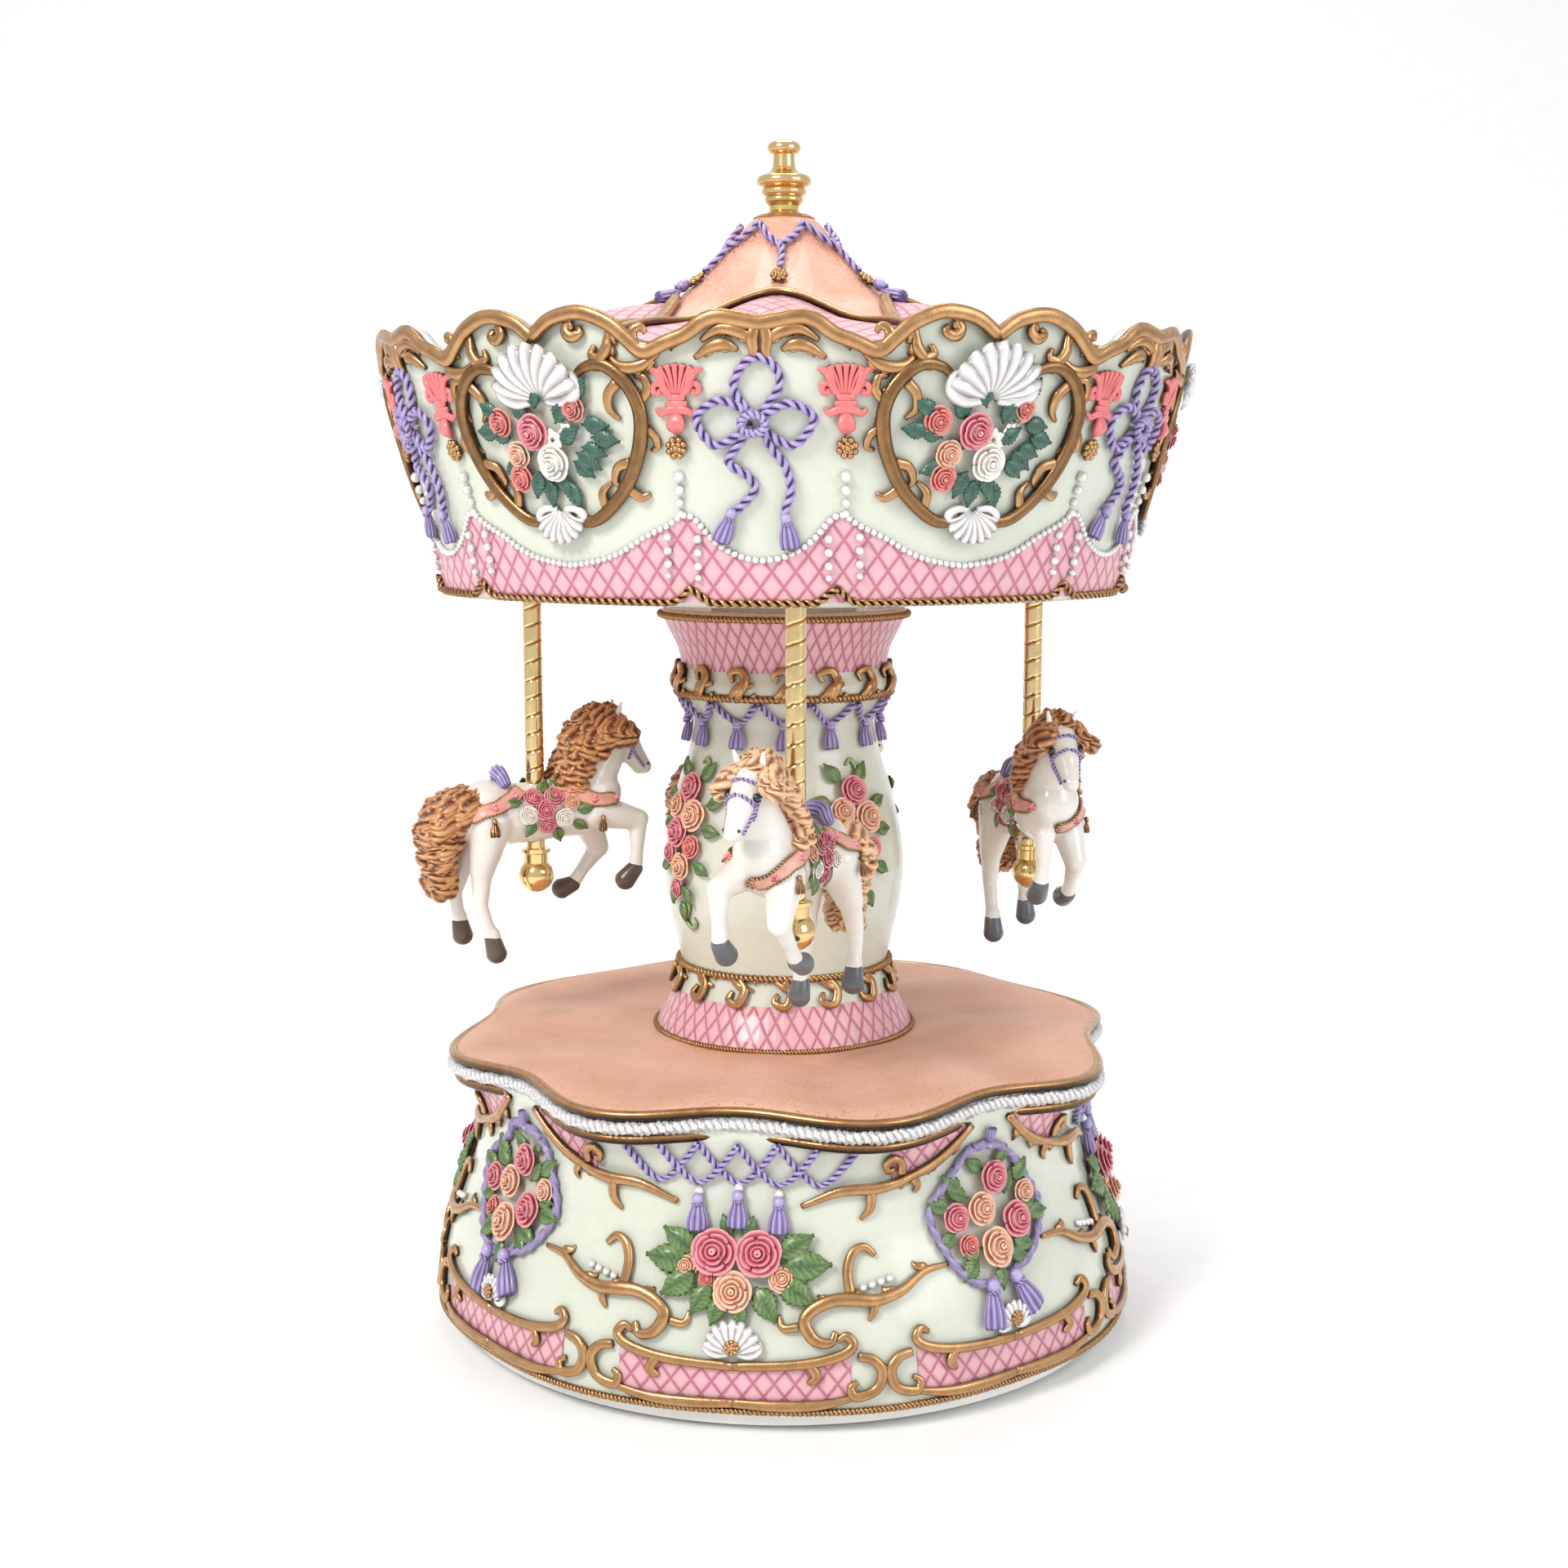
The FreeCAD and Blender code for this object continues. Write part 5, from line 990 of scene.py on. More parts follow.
def column_trim():
    """The palmette, rosette and pearls that stand over each crease of the canopy."""
    coral, gold, pearl = Relief(), Relief(), Relief()
    for side in (-1, 1):
        coral.add(PALMETTE, at(side * 18.0, 237.2, 0.3))
        gold.add(ROSETTE, at(side * 18.3, 226.6, 0.2, 20 * side, 2.7))
        for v, radius in ((220.4, 1.3), (217.4, 1.15), (214.6, 1.0), (212.2, 0.9)):
            bead(pearl, (side * 18.1, v, radius * 0.55), radius)
        for u, top in ((side * 14.2, 206.8), (side * 21.1, 207.2)):
            for step in range(3):
                bead(pearl, (u, top - 3.0 * step, 0.9), 1.0)
            bead(pearl, (u, top - 8.6, 0.9), 0.8, squash=1.3)
    return coral, gold, pearl


def build_canopy_ornament():
    """Everything in relief on the rounding board."""
    coral, rosettes, pearl = column_trim()
    swag = np.linspace(-HALF_PANEL, HALF_PANEL, 80)
    for spot in even_line(panel_line(swag, SWAG(np.abs(swag)), 0.47), 1.6)[:-1]:
        bead(pearl, spot, 0.82, 6, 9)
    dress(FASCIA, BOWS, crest_scrolls(), "canopy_crest_scrolls", "carousel", GOLD,
          "antique_gold")
    dress(FASCIA, BOWS, bow_rope(), "canopy_bows", "carousel", PURPLE, "rope_purple")
    dress(FASCIA, BOWS, coral, "canopy_palmettes", "carousel", CORAL, "pink_resin")
    dress(FASCIA, BOWS, rosettes, "canopy_rosettes", "carousel", GOLD, "antique_gold")
    dress(FASCIA, BOWS, pearl, "canopy_pearls", "carousel", PEARL, "pearl")
    dress(FASCIA, CARTOUCHES, cartouche_frame(), "canopy_cartouches", "carousel", GOLD,
          "antique_gold")
    shells = Relief()
    shells.add(SHELL, at(0, 237.0, 0.5, 0, 12.0))
    shells.add(SMALL_SHELL, at(0, 213.4, 0.5, 180, 7.4))
    dress(FASCIA, CARTOUCHES, shells, "canopy_shells", "carousel", PEARL, "pearl")
    plant(CANOPY_BOUQUET, FASCIA, CARTOUCHES, "canopy_bouquet", "carousel", "dark_leaf")
    edge = np.linspace(-HALF_PANEL, HALF_PANEL, 41)
    height = 192.7 + 3.4 * np.exp(-((np.abs(edge) - 18.1) / 2.6)**2)
    trim = rope(Relief(), panel_line(edge, height, 0.8), 0.95)
    dress(FASCIA, BOWS, trim, "canopy_rope_trim", "carousel", GOLD, "antique_gold")


# ---------------------------------------------------------------- roof

ROOF_LINE = Table(((6.5, 286.0), (9, 284.4), (13, 279.4), (20, 272.2), (26, 266.6),
                   (32, 262.2), (45, 258.8), (58, 256.4), (70, 253.6), (84, 250.0),
                   (96.5, 246.6)))


def roof_height(radius, turn):
    """The roof's height; it swells over each bow."""
    swell = 2.8 * np.exp(-((radius - 46) / 15.0)**2)
    return ROOF_LINE(radius) + swell * np.cos(np.radians(CANOPY_SIDES * (turn - BOW_PHASE)))


def roof_wrap(angle):
    """A mapping for drawings on the roof, where v is minus the distance from the axis."""
    def mapping(points):
        u, radius, w = points[..., 0], -points[..., 1], points[..., 2]
        turn = math.radians(angle) + u / np.maximum(radius, 5)
        slope = (roof_height(radius + 0.5, np.degrees(turn))
                 - roof_height(radius - 0.5, np.degrees(turn)))
        lean = 1 / np.sqrt(1 + slope**2)
        reach = radius - w * slope * lean
        return np.stack([reach * np.sin(turn), -reach * np.cos(turn),
                         roof_height(radius, np.degrees(turn)) + w * lean], -1)
    return mapping


def build_roof():
    """The glittering cone, its quilted lunettes with gold edges, and the purple ropes."""
    radius = np.linspace(96.0, 6.5, 70)[:, None]
    turn = np.linspace(0, 360, 360, endpoint=False)[None, :]
    top = np.stack([radius * np.sin(np.radians(turn)), -radius * np.cos(np.radians(turn)),
                    roof_height(radius, turn)], -1)
    under = top[:1].copy()
    under[..., :2] *= 0.98
    under[..., 2] -= 2.6
    cap = top[-1:].copy()
    cap[..., :2] *= 0.3
    Relief().grid(np.concatenate([under, top, cap]), 0.8, closed=True).piece(
        "roof_skin", "carousel", ROOF_PEACH, "peach_resin")
    quilt, gold, purple = Relief(), Relief(), Relief()
    degrees = np.linspace(-27, 27, 60)[None, :]
    inner = 31 + 24 * (np.abs(degrees) / 28)**2.2
    share = np.linspace(0, 1, 26)[:, None]
    reach = 94 + (inner - 94) * share
    sheet = np.stack([np.radians(degrees) * reach, -reach, 0.35 + 0 * reach], -1)
    cells = np.stack([np.radians(degrees) * 60 / 5.2 + 0 * reach, reach / 6.4], -1)
    arc = [(math.radians(d) * r, -r) for d, r in
           ((-27, 93.5), (-27, 80), (-27, 66), (-26.6, 54), (-22, 44.9), (-15, 37.0),
            (-8, 32.5), (0, 31.0), (8, 32.5), (15, 37.0), (22, 44.9), (26.6, 54), (27, 66),
            (27, 80), (27, 93.5))]
    edge = stroke(Relief(), arc, (1.15, 1.15), 1.0, 0.4)
    flower = Relief().add(ROSETTE, at(0, -24.2, 0.3, 0, 2.3))
    swag = rope(Relief(), flat_line(((0, -15.2), (0.4, -18.4), (0, -21.8)), 1.0), 0.95)
    for side in (-1, 1):
        rope(swag, flat_line(((side * 5.2, -10.2), (side * 3.4, -12.8), (0, -15.6)), 1.1), 0.95)
    tassel = Relief().add(TASSEL, at(0, -26.2, 0.6, 0, 9.0))
    for index, angle in enumerate(BOWS):
        wrap = roof_wrap(angle)
        quilt.grid(wrap(sheet), 0.8, cells=cells)
        gold.add(edge, wrap)
        gold.add(flower, wrap)
        purple.add(swag, wrap)
        if index % 2:
            purple.add(tassel, wrap)
    quilt.piece("roof_lunettes", "carousel", LATTICE, "pink_resin")
    gold.piece("roof_gold", "carousel", GOLD, "antique_gold")
    purple.piece("roof_ropes", "carousel", PURPLE, "rope_purple")


# ---------------------------------------------------------------- pillar

QUARTERS = [MOTIF_PHASE + 90 * quarter for quarter in range(4)]
GARLANDS = [36 + 90 * quarter for quarter in range(4)]
PILLAR_SWAGS = 13


def pillar_skin():
    """The baluster itself with a moulded lid."""
    relief = COLUMN.skin(DECK_Z - 0.5, PILLAR_TOP, 90, 160)
    turn = np.radians(np.linspace(0, 360, 160, endpoint=False))
    rim = np.stack([np.sin(turn), -np.cos(turn), 0 * turn], -1)
    rings = []
    for radius, height in ((32.2, PILLAR_TOP), (31.4, PILLAR_TOP + 0.9),
                           (30.2, PILLAR_TOP + 0.9), (29.6, PILLAR_TOP + 0.2),
                           (18.0, PILLAR_TOP + 0.2)):
        ring = rim * radius
        ring[:, 2] = height
        rings.append(ring)
    relief.grid(np.array(rings), 0.8, closed=True)
    relief.piece("pillar_skin", "base", CREAM, "cream_resin")


def pillar_ring(count, base, tip, lift):
    """A ring of acanthus curls between two heights."""
    relief = Relief()
    pitch = 2 * math.pi * float(COLUMN.radius(base)) / count
    sign = 1 if tip > base else -1
    reach = abs(tip - base)
    curl = ((0, 0), (pitch * 0.16, sign * reach * 0.45), (pitch * 0.05, sign * reach * 0.95),
            (-pitch * 0.20, sign * reach * 0.82), (-pitch * 0.14, sign * reach * 0.5))
    points = [(u, base + v) for u, v in curl]
    stroke(relief, points, (0.75, 1.05, 0.9, 0.45), 1.0, lift)
    stroke(relief, [(-0.2 * pitch, base), (0.05 * pitch, base + sign * reach * 0.3),
                    (0.34 * pitch, base + sign * reach * 0.42)], (0.5, 0.9, 0.4), 1.0, lift)
    bead(relief, (0.36 * pitch, base + sign * 0.6, 0.7), 0.62)
    return relief


def ring_rope(surface, z, radius, lift, relief=None):
    """A laid rope right round a surface."""
    relief = relief or Relief()
    reach = float(surface.radius(z))
    turn = np.linspace(0, 2 * math.pi, 181)[:-1]
    line = np.column_stack([turn * reach, np.full(180, z), np.full(180, lift)])
    wrapped = surface.wrap(0)(line)
    return rope(relief, wrapped, radius, closed=True)


def build_pillar():
    """The pillar, its quilted flares, rings of curls, ropes, tassels and garlands."""
    pillar_skin()
    quilt, gold, purple = Relief(), Relief(), Relief()
    quilt_ring(quilt, COLUMN, 171.5, PILLAR_TOP - 1.4, 56, 6.8)
    quilt_ring(quilt, COLUMN, DECK_Z + 0.3, 86.4, 48, 7.2)
    quilt.piece("pillar_quilting", "base", LATTICE, "pink_resin")
    for count, base, tip in ((15, 165.6, 172.4), (15, 93.0, 86.2)):
        curl = pillar_ring(count, base, tip, 0.5)
        for step in range(count):
            gold.add(curl, COLUMN.wrap(360 / count * step))
    for z, radius in ((165.2, 1.15), (93.4, 1.15), (PILLAR_TOP - 0.6, 1.0), (DECK_Z + 0.9, 0.8)):
        ring_rope(COLUMN, z, radius, 0.5, gold)
    gold.piece("pillar_gold", "base", GOLD, "antique_gold")
    period = 2 * math.pi * 24.6 / PILLAR_SWAGS
    swag = rope(Relief(), flat_line(((-period / 2, 164.0), (-period / 4, 160.8), (0, 158.8),
                                     (period / 4, 160.8), (period / 2, 164.0)), 1.0), 0.85)
    swag.add(TASSEL, at(0, 158.8, 0.5, 0, 7.2))
    bead(swag, (0, 159.0, 1.4), 1.0)
    for step in range(PILLAR_SWAGS):
        purple.add(swag, COLUMN.wrap(360 / PILLAR_SWAGS * step))
    purple.piece("pillar_swags", "base", PURPLE, "rope_purple")
    garland = bouquet(
        ((0.4, 141.0, 3.0, "pink"), (-3.6, 136.2, 2.8, "peach"), (3.4, 134.2, 3.3, "peach"),
         (-1.6, 129.6, 3.2, "pink"), (4.0, 126.6, 2.4, "coral"), (-4.2, 124.2, 2.4, "pink"),
         (0.8, 121.4, 2.8, "peach"), (-1.0, 115.6, 2.2, "pink")),
        ((2.6, 143.0, -35, 4.8), (-2.8, 143.2, 35, 4.8), (-6.2, 138.0, 75, 4.4),
         (6.4, 137.0, -70, 4.4), (6.6, 131.0, -95, 4.4), (-5.2, 131.6, 100, 4.4),
         (-6.2, 121.8, 120, 4.2), (5.2, 122.6, -120, 4.2), (1.4, 116.6, -150, 4.4),
         (-2.8, 116.0, 160, 4.4), (0.4, 112.4, 180, 4.2)))
    plant(garland, COLUMN, GARLANDS, "pillar_garland", "base")
    vine = Relief()
    for line in (((0, 114), (1.8, 110.6), (-0.6, 107.6), (-2.6, 108.8), (-1.8, 110.2)),
                 ((0, 112), (-1.2, 108.2), (1.4, 105.2), (3.6, 106.4), (2.8, 108.0)),
                 ((1, 143), (3.4, 146.0), (2.2, 148.8), (0.4, 147.6))):
        stroke(vine, line, (0.4, 0.6, 0.5, 0.3), 1.0, 0.2)
    dress(COLUMN, GARLANDS, vine, "pillar_vines", "base", LEAF_GREEN, "leaf_green")


# ---------------------------------------------------------------- base

C_MOTIFS = QUARTERS
B_MOTIFS = [angle + 45 for angle in QUARTERS]
ALL_PANELS = sorted(C_MOTIFS + B_MOTIFS)


def deck_edge(turn):
    """The radius of the deck's rippled edge at angles in degrees."""
    return WALL.radius(DECK_Z) + WALL.ripple(turn, DECK_Z)


def panel_cosine(turn):
    """1 at the middle of each base panel and -1 between panels."""
    return np.cos(np.radians(BASE_PANELS * (turn - MOTIF_PHASE)))


def build_base_skin():
    """The panelled wall, its foot, and the plate of the deck."""
    wall = WALL.skin(node_floor("base_casting"), DECK_Z - 1.0, 90, 480)
    turn = np.linspace(0, 360, 480, endpoint=False)[None, :]
    grid = wall.grids[0][0]
    foot = grid[:1].copy()
    foot[..., :2] *= 0.90
    Relief().grid(np.concatenate([foot, grid]), 0.8, closed=True).piece(
        "base_skin", "base", CREAM, "cream_resin")
    share = np.linspace(1, 0, 30)[:, None]
    reach = 33.0 + (deck_edge(turn) + 0.4 - 33.0) * share
    droop = (-1.7 * smoothstep(0.86, 1.0, share) * (0.5 - 0.5 * panel_cosine(turn))
             - 0.9 * smoothstep(0.97, 1.0, share))
    folds = 1.1 * np.sin(share * math.pi) * panel_cosine(turn)
    deck = np.stack([reach * np.sin(np.radians(turn)), -reach * np.cos(np.radians(turn)),
                     DECK_Z + 0.6 + droop + folds], -1)
    Relief().grid(deck, 0.8, closed=True).piece("deck_skin", "base", PEACH, "peach_resin")


def edge_ring(shift, z):
    """A closed line that follows the deck's edge."""
    turn = np.linspace(0, 360, 480, endpoint=False)
    reach = deck_edge(turn) + shift
    drop = 1.2 * (0.5 - 0.5 * panel_cosine(turn))
    return np.stack([reach * np.sin(np.radians(turn)), -reach * np.cos(np.radians(turn)),
                     z - drop], -1)


def build_cornice():
    """Gold rolls above and below a white twisted rope, all round the deck's edge."""
    gold = Relief()
    for shift, drop, radius in ((0.3, 0.9, 1.25), (-1.0, 6.9, 1.25)):
        tube(gold, edge_ring(shift, DECK_Z - drop), radius, 12, closed=True, ridge=0.06)
    gold.piece("cornice_gold", "base", GOLD, "antique_gold")
    wall = WALL.skin(64.5, 65.5, 2, 480).grids[0][0][:1]
    rows = [wall[0]] + [edge_ring(shift, DECK_Z - drop) for shift, drop in
                        ((-2.2, 7.2), (-1.5, 6.2), (-1.0, 4.0), (-0.6, 1.6), (-0.2, 0.4))]
    # the cream strip behind the white rope gets a low shading value of 0.35: painted shade in the
    # recess behind the rope
    Relief().grid(np.array(rows), 0.35, closed=True).piece(
        "cornice_back", "base", CREAM, "cream_resin")
    white = rope(Relief(), edge_ring(0.3, DECK_Z - 3.9), 1.95, pitch=7.4, closed=True)
    white.piece("cornice_rope", "base", PEARL, "petal_white")


def crossed_ropes():
    """The purple ropes that cross over the C motif, with their pearls and tassels."""
    purple, pearl = Relief(), Relief()
    for index, middle in enumerate((-18.8, -9.4, 0.0, 9.4, 18.8)):
        run = ((middle - 9.4, 67.0), (middle - 5.2, 61.0), (middle, 56.4),
               (middle + 5.2, 61.0), (middle + 9.4, 67.0))
        rope(purple, flat_line(run, 0.9 + 0.5 * (index % 2)), 0.95)
    for u, v in ((-9.4, 56.0), (0, 57.0), (9.4, 56.0)):
        bead(pearl, (u, v - 1.6, 1.2), 1.15)
        purple.add(TASSEL, at(u, v - 2.4, 0.6, 0, 8.6))
    return purple, pearl


def spandrel():
    """The gold scroll that runs down from the cornice on one side, u negative."""
    relief = Relief()
    lines = (
        (((-59, 67.9), (-48.7, 60.9), (-39.4, 57.1), (-32.1, 55.4), (-23.4, 55.0),
          (-14.6, 51.6)), (0.7, 1.1, 1.2, 1.1, 0.6)),
        (((-41, 56.7), (-42.4, 54.6), (-41.6, 53.2)), (0.9, 0.7, 0.4)),
        (((-30.7, 54.5), (-30.4, 50.8), (-28.4, 48.3)), (1.0, 0.9, 0.4)),
        (((-38.0, 58.6), (-38.0, 61.6), (-36.1, 62.9), (-34.3, 61.4), (-34.8, 59.4),
          (-36.4, 59.8)), (0.9, 0.9, 0.5)),
        (((-51.3, 35.8), (-44.6, 35.3), (-39, 32.2), (-33.2, 30.6), (-28.5, 30.9),
          (-23.4, 31.1), (-18.9, 29.6), (-16.3, 26.8), (-18.5, 22.9), (-22.4, 22.0),
          (-23.6, 24.4)), (0.5, 1.1, 1.35, 1.3, 1.2, 0.6)),
        (((-26.6, 32.2), (-25.7, 37), (-26.7, 41), (-29.4, 42.2), (-32, 40.2)),
         (1.0, 1.0, 0.6)),
        (((-32.4, 29.7), (-32.2, 28.0), (-31.4, 26.3)), (0.9, 0.8, 0.4)),
        (((-15, 25.4), (-11.5, 25.2), (-10.5, 27.9)), (0.9, 0.8, 0.4)),
    )
    for index, (points, widths) in enumerate(lines):
        if index in (0, 4):
            acanthus(relief, points, widths, -1 if index == 0 else 1, 4, 1.15)
        else:
            stroke(relief, points, widths, 1.0, 0.35)
    return relief


def mirrored(drawing):
    """A drawing with its mirror image in u added."""
    return Relief().add(drawing).add(drawing, at(0, 0, mirror=-1.0))


def band_frame():
    """The gold frame of one panel of the lower band."""
    relief = Relief()
    half = (((0, 16.4), (15.5, 17.3), (24.3, 19.0), (27.6, 21.2), (26.2, 23.4),
             (24.2, 22.4)),
            ((29, 18.7), (32.3, 17.9), (34.6, 15.0), (33.3, 11.0), (28.6, 9.6),
             (27.4, 11.6), (29.0, 12.8)),
            ((0, 8.0), (10, 7.8), (20, 8.0), (29, 9.4)),
            ((17.6, 17.6), (19.4, 14.6), (17.6, 12.8)))
    for points in half:
        for line in both(points):
            stroke(relief, line, (0.9, 1.1, 1.0, 0.6), 1.0, 0.3)
    return relief


C_BOUQUET = bouquet(
    ((-4.9, 40.8, 4.4, "pink"), (5.2, 40.8, 4.4, "pink"), (-0.4, 32.4, 3.7, "peach"),
     (-11.6, 37.4, 2.4, "peach"), (10.8, 35.6, 2.6, "peach"), (-6.4, 34.8, 1.9, "coral")),
    ((-10.6, 38.4, 86, 8.6), (-9.4, 40.4, 56, 7.6), (-9.2, 36.0, 122, 7.6),
     (-5.4, 34.2, 146, 6.8), (10.8, 38.2, -88, 9.0), (9.6, 40.2, -58, 7.6),
     (10.0, 35.4, -122, 8.0), (5.0, 33.8, -148, 7.2), (1.0, 30.4, -172, 4.6),
     (-1.6, 44.2, 22, 4.4), (1.8, 44.0, -20, 4.4), (-3.0, 31.4, 160, 5.4)))
B_BOUQUET = bouquet(
    ((1.4, 52.9, 3.3, "pink"), (-3.6, 46.2, 3.4, "peach"), (-11.4, 45.4, 3.0, "pink"),
     (6.4, 41.8, 3.6, "pink"), (10.8, 47.4, 2.6, "peach"), (-1.5, 36.8, 3.8, "peach"),
     (-9.0, 38.4, 2.4, "coral")),
    ((-1.2, 54.8, 50, 5.2), (-7.0, 49.4, 65, 5.2), (-5.4, 37.6, 100, 5.0),
     (3.0, 35.4, -120, 5.2), (4.4, 48.2, -30, 5.0), (8.6, 44.6, -85, 4.8),
     (-12.0, 42.0, 120, 4.8), (3.6, 55.2, -30, 4.8), (-1.0, 33.0, 175, 4.6),
     (-8.6, 50.8, 45, 5.6), (8.2, 50.6, -45, 5.4), (10.6, 42.4, -95, 5.6),
     (-7.0, 35.6, 130, 5.6), (4.4, 37.4, -110, 5.6), (-12.6, 47.8, 70, 5.2)))


def build_base_gold():
    """Scrolls, band frames, knots and the foot's rope."""
    gold = Relief()
    scroll = mirrored(spandrel())
    frame_drawing = band_frame()
    knot = Relief().add(ROSETTE, at(0, 20.8, 2.2, 0, 1.9))
    for angle in C_MOTIFS:
        gold.add(scroll, WALL.wrap(angle))
    for angle in ALL_PANELS:
        gold.add(frame_drawing, WALL.wrap(angle))
        gold.add(knot, WALL.wrap(angle))
    ring_rope(WALL, 5.9, 0.95, 0.5, gold)
    gold.piece("base_gold", "base", GOLD, "antique_gold")


def build_base_quilting():
    """Quilted patches in the band's frames and beside the front motifs."""
    quilt = Relief()
    for angle in ALL_PANELS:
        lattice(quilt, WALL, angle, lambda u: 8.4 + 0 * u,
                lambda u: 16.6 + 0.0042 * u**2, -27.5, 27.5, (4.9, 6.2), 0.3, 60, 8)
    for angle in C_MOTIFS:
        for side in (-1, 1):
            left, right = sorted((side * 57.0, side * 36.0))
            lattice(quilt, WALL, angle,
                    lambda u: 56.6 + 11.0 * np.clip((np.abs(u) - 36) / 22, 0, 1)**1.2,
                    lambda u: 68.4 + 0 * u, left, right, (4.6, 6.0), 0.3, 30, 8)
    quilt.piece("base_quilting", "base", LATTICE, "pink_resin")


def rope_ring():
    """The purple ring round a side bouquet, with its tassels."""
    ring = ((-5, 61.6), (-10, 56), (-17.4, 49.5), (-17.4, 42.6), (-12.7, 33.6), (-6.5, 29.6),
            (1.7, 30.6), (10, 33.8), (15.8, 42.3), (13.2, 50), (5.5, 60))
    line = smooth_line(np.array(ring), 8, closed=True)
    ruffle = rope(Relief(), np.column_stack([line, np.full(len(line), 1.2)]), 1.25,
                  closed=True, strands=3)
    for start, turn, size in (((-5.0, 29.9), -8, 10.5), ((1.8, 30.6), 30, 10.5)):
        ruffle.add(TASSEL, at(start[0], start[1], 0.6, turn, size))
    return ruffle.add(TASSEL, at(0.4, 61.2, 0.8, 180, 5.0))


def build_base_ornament():
    """Everything in relief on the base's wall."""
    build_base_gold()
    build_base_quilting()
    purple, pearl = crossed_ropes()
    for v in range(4):
        for side in (-1, 1):
            bead(pearl, (side * (29.6 + 2.1 * v), 33.4 + 0.5 * v, 0.8), 0.95)
    dress(WALL, C_MOTIFS, purple, "base_crossed_ropes", "base", PURPLE, "rope_purple")
    dress(WALL, C_MOTIFS, pearl, "base_pearls", "base", PEARL, "pearl")
    dress(WALL, B_MOTIFS, rope_ring(), "base_rope_rings", "base", PURPLE, "rope_purple")
    plant(C_BOUQUET, WALL, C_MOTIFS, "base_front_bouquet", "base")
    plant(B_BOUQUET, WALL, B_MOTIFS, "base_side_bouquet", "base")
    shells = Relief().add(SHELL, at(0, 19.0, 0.5, 0, 7.2))
    dress(WALL, C_MOTIFS, shells, "base_shells", "base", PEARL, "pearl")
    small = Relief().add(SMALL_SHELL, at(0, 18.6, 0.5, 0, 5.8))
    dress(WALL, B_MOTIFS, small, "base_small_shells", "base", PEARL, "pearl")


# ---------------------------------------------------------------- poles

MID_FOOT_Z = 118.4
POLE_RADIUS = 2.45
GROOVE_PITCH = 4.7


def pole_lift(number):
    """How far a pole stands from mid-travel at rest, read from the frame."""
    return node_floor(f"pole_{number}") - MID_FOOT_Z


def build_poles():
    """Brass poles with one spiral groove each."""
    for number in range(1, 5):
        middle = node_middle(f"pole_{number}")
        low, high = node_floor(f"pole_{number}"), node_top(f"pole_{number}")
        z = np.linspace(low, high, 400)[:, None]
        turn = np.linspace(0, 2 * math.pi, 40, endpoint=False)[None, :]
        phase = (z / GROOVE_PITCH - turn / (2 * math.pi)) % 1.0
        groove = np.exp(-(np.minimum(phase, 1 - phase) / 0.055)**2)
        reach = POLE_RADIUS - 0.32 * groove
        points = np.stack([middle.x + reach * np.cos(turn), middle.y + reach * np.sin(turn),
                           z + 0 * turn], -1)
        cap = points[:1].copy()
        cap[..., 0], cap[..., 1] = middle.x, middle.y
        # painted shade in the spiral groove, painted highlight on the land between turns
        pole = Relief().grid(np.concatenate([cap, points]),
                             np.concatenate([groove[:1] * 0 + 1, 1 - groove]), closed=True)
        piece = pole.piece(f"spiral_pole_{number}", f"pole_{number}", POLE_BRASS,
                           "polished_brass")
        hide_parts(f"pole_{number}")


# ---------------------------------------------------------------- horses

# from (x, y, z), radius, to (x, y, z), radius; +x is ahead and the pole is at x = y = 0
HORSE_MUSCLES = (
    ((-12, 0, 131.6), 8.4, (0, 0, 132.0), 7.9), ((0, 0, 132.0), 7.9, (12, 0, 133.4), 8.5),
    ((11, 0, 133.0), 8.3, (16.5, 0, 136.2), 7.0), ((-13, 0, 133.6), 7.6, (-17, 0, 131.0), 6.6),
    ((14, 0, 138.0), 7.0, (18.6, 0, 145.4), 5.6), ((18.6, 0, 145.4), 5.6, (22, 0, 152.0), 4.5),
    ((22.2, 0, 152.8), 4.3, (26.2, 0, 147.8), 3.4), ((26.2, 0, 147.8), 3.3, (29.4, 0, 143.4), 2.4),
    ((29.0, 0, 144.0), 2.5, (30.2, 0, 142.6), 2.2), ((25.4, 0, 146.2), 2.2, (28.6, 0, 141.6), 1.3),
    ((-13, -4.2, 130), 6.0, (-16, -5.4, 118), 3.3), ((-13, 4.2, 130), 6.0, (-18, 5.4, 119.5), 3.3),
    ((-16, -5.4, 118), 3.0, (-16.6, -5.5, 109), 2.1), ((-16.6, -5.5, 109), 2.0,
                                                      (-13.6, -5.6, 99.5), 1.7),
    ((-18, 5.4, 119.5), 3.0, (-20.8, 5.6, 111), 2.1), ((-20.8, 5.6, 111), 2.0,
                                                      (-19.5, 5.8, 102.5), 1.7),
    ((-13.6, -5.6, 101), 2.2, (-13.2, -5.6, 99.4), 2.1), ((-19.5, 5.8, 104), 2.2,
                                                         (-19.3, 5.8, 102.4), 2.1),
    ((15, -4.6, 132), 5.0, (26.6, -5.6, 129.2), 2.9), ((14, 4.6, 131), 5.0, (19, 5.8, 120.4), 2.9),
    ((26.6, -5.6, 129.2), 2.7, (26.2, -5.8, 121), 1.8), ((26.2, -5.8, 121), 1.8,
                                                        (25.6, -6.0, 116.4), 2.0),
    ((19, 5.8, 120.4), 2.7, (14.6, 6.2, 114.6), 1.8), ((14.6, 6.2, 114.6), 1.8,
                                                      (11.9, 6.4, 110.8), 2.0),
)
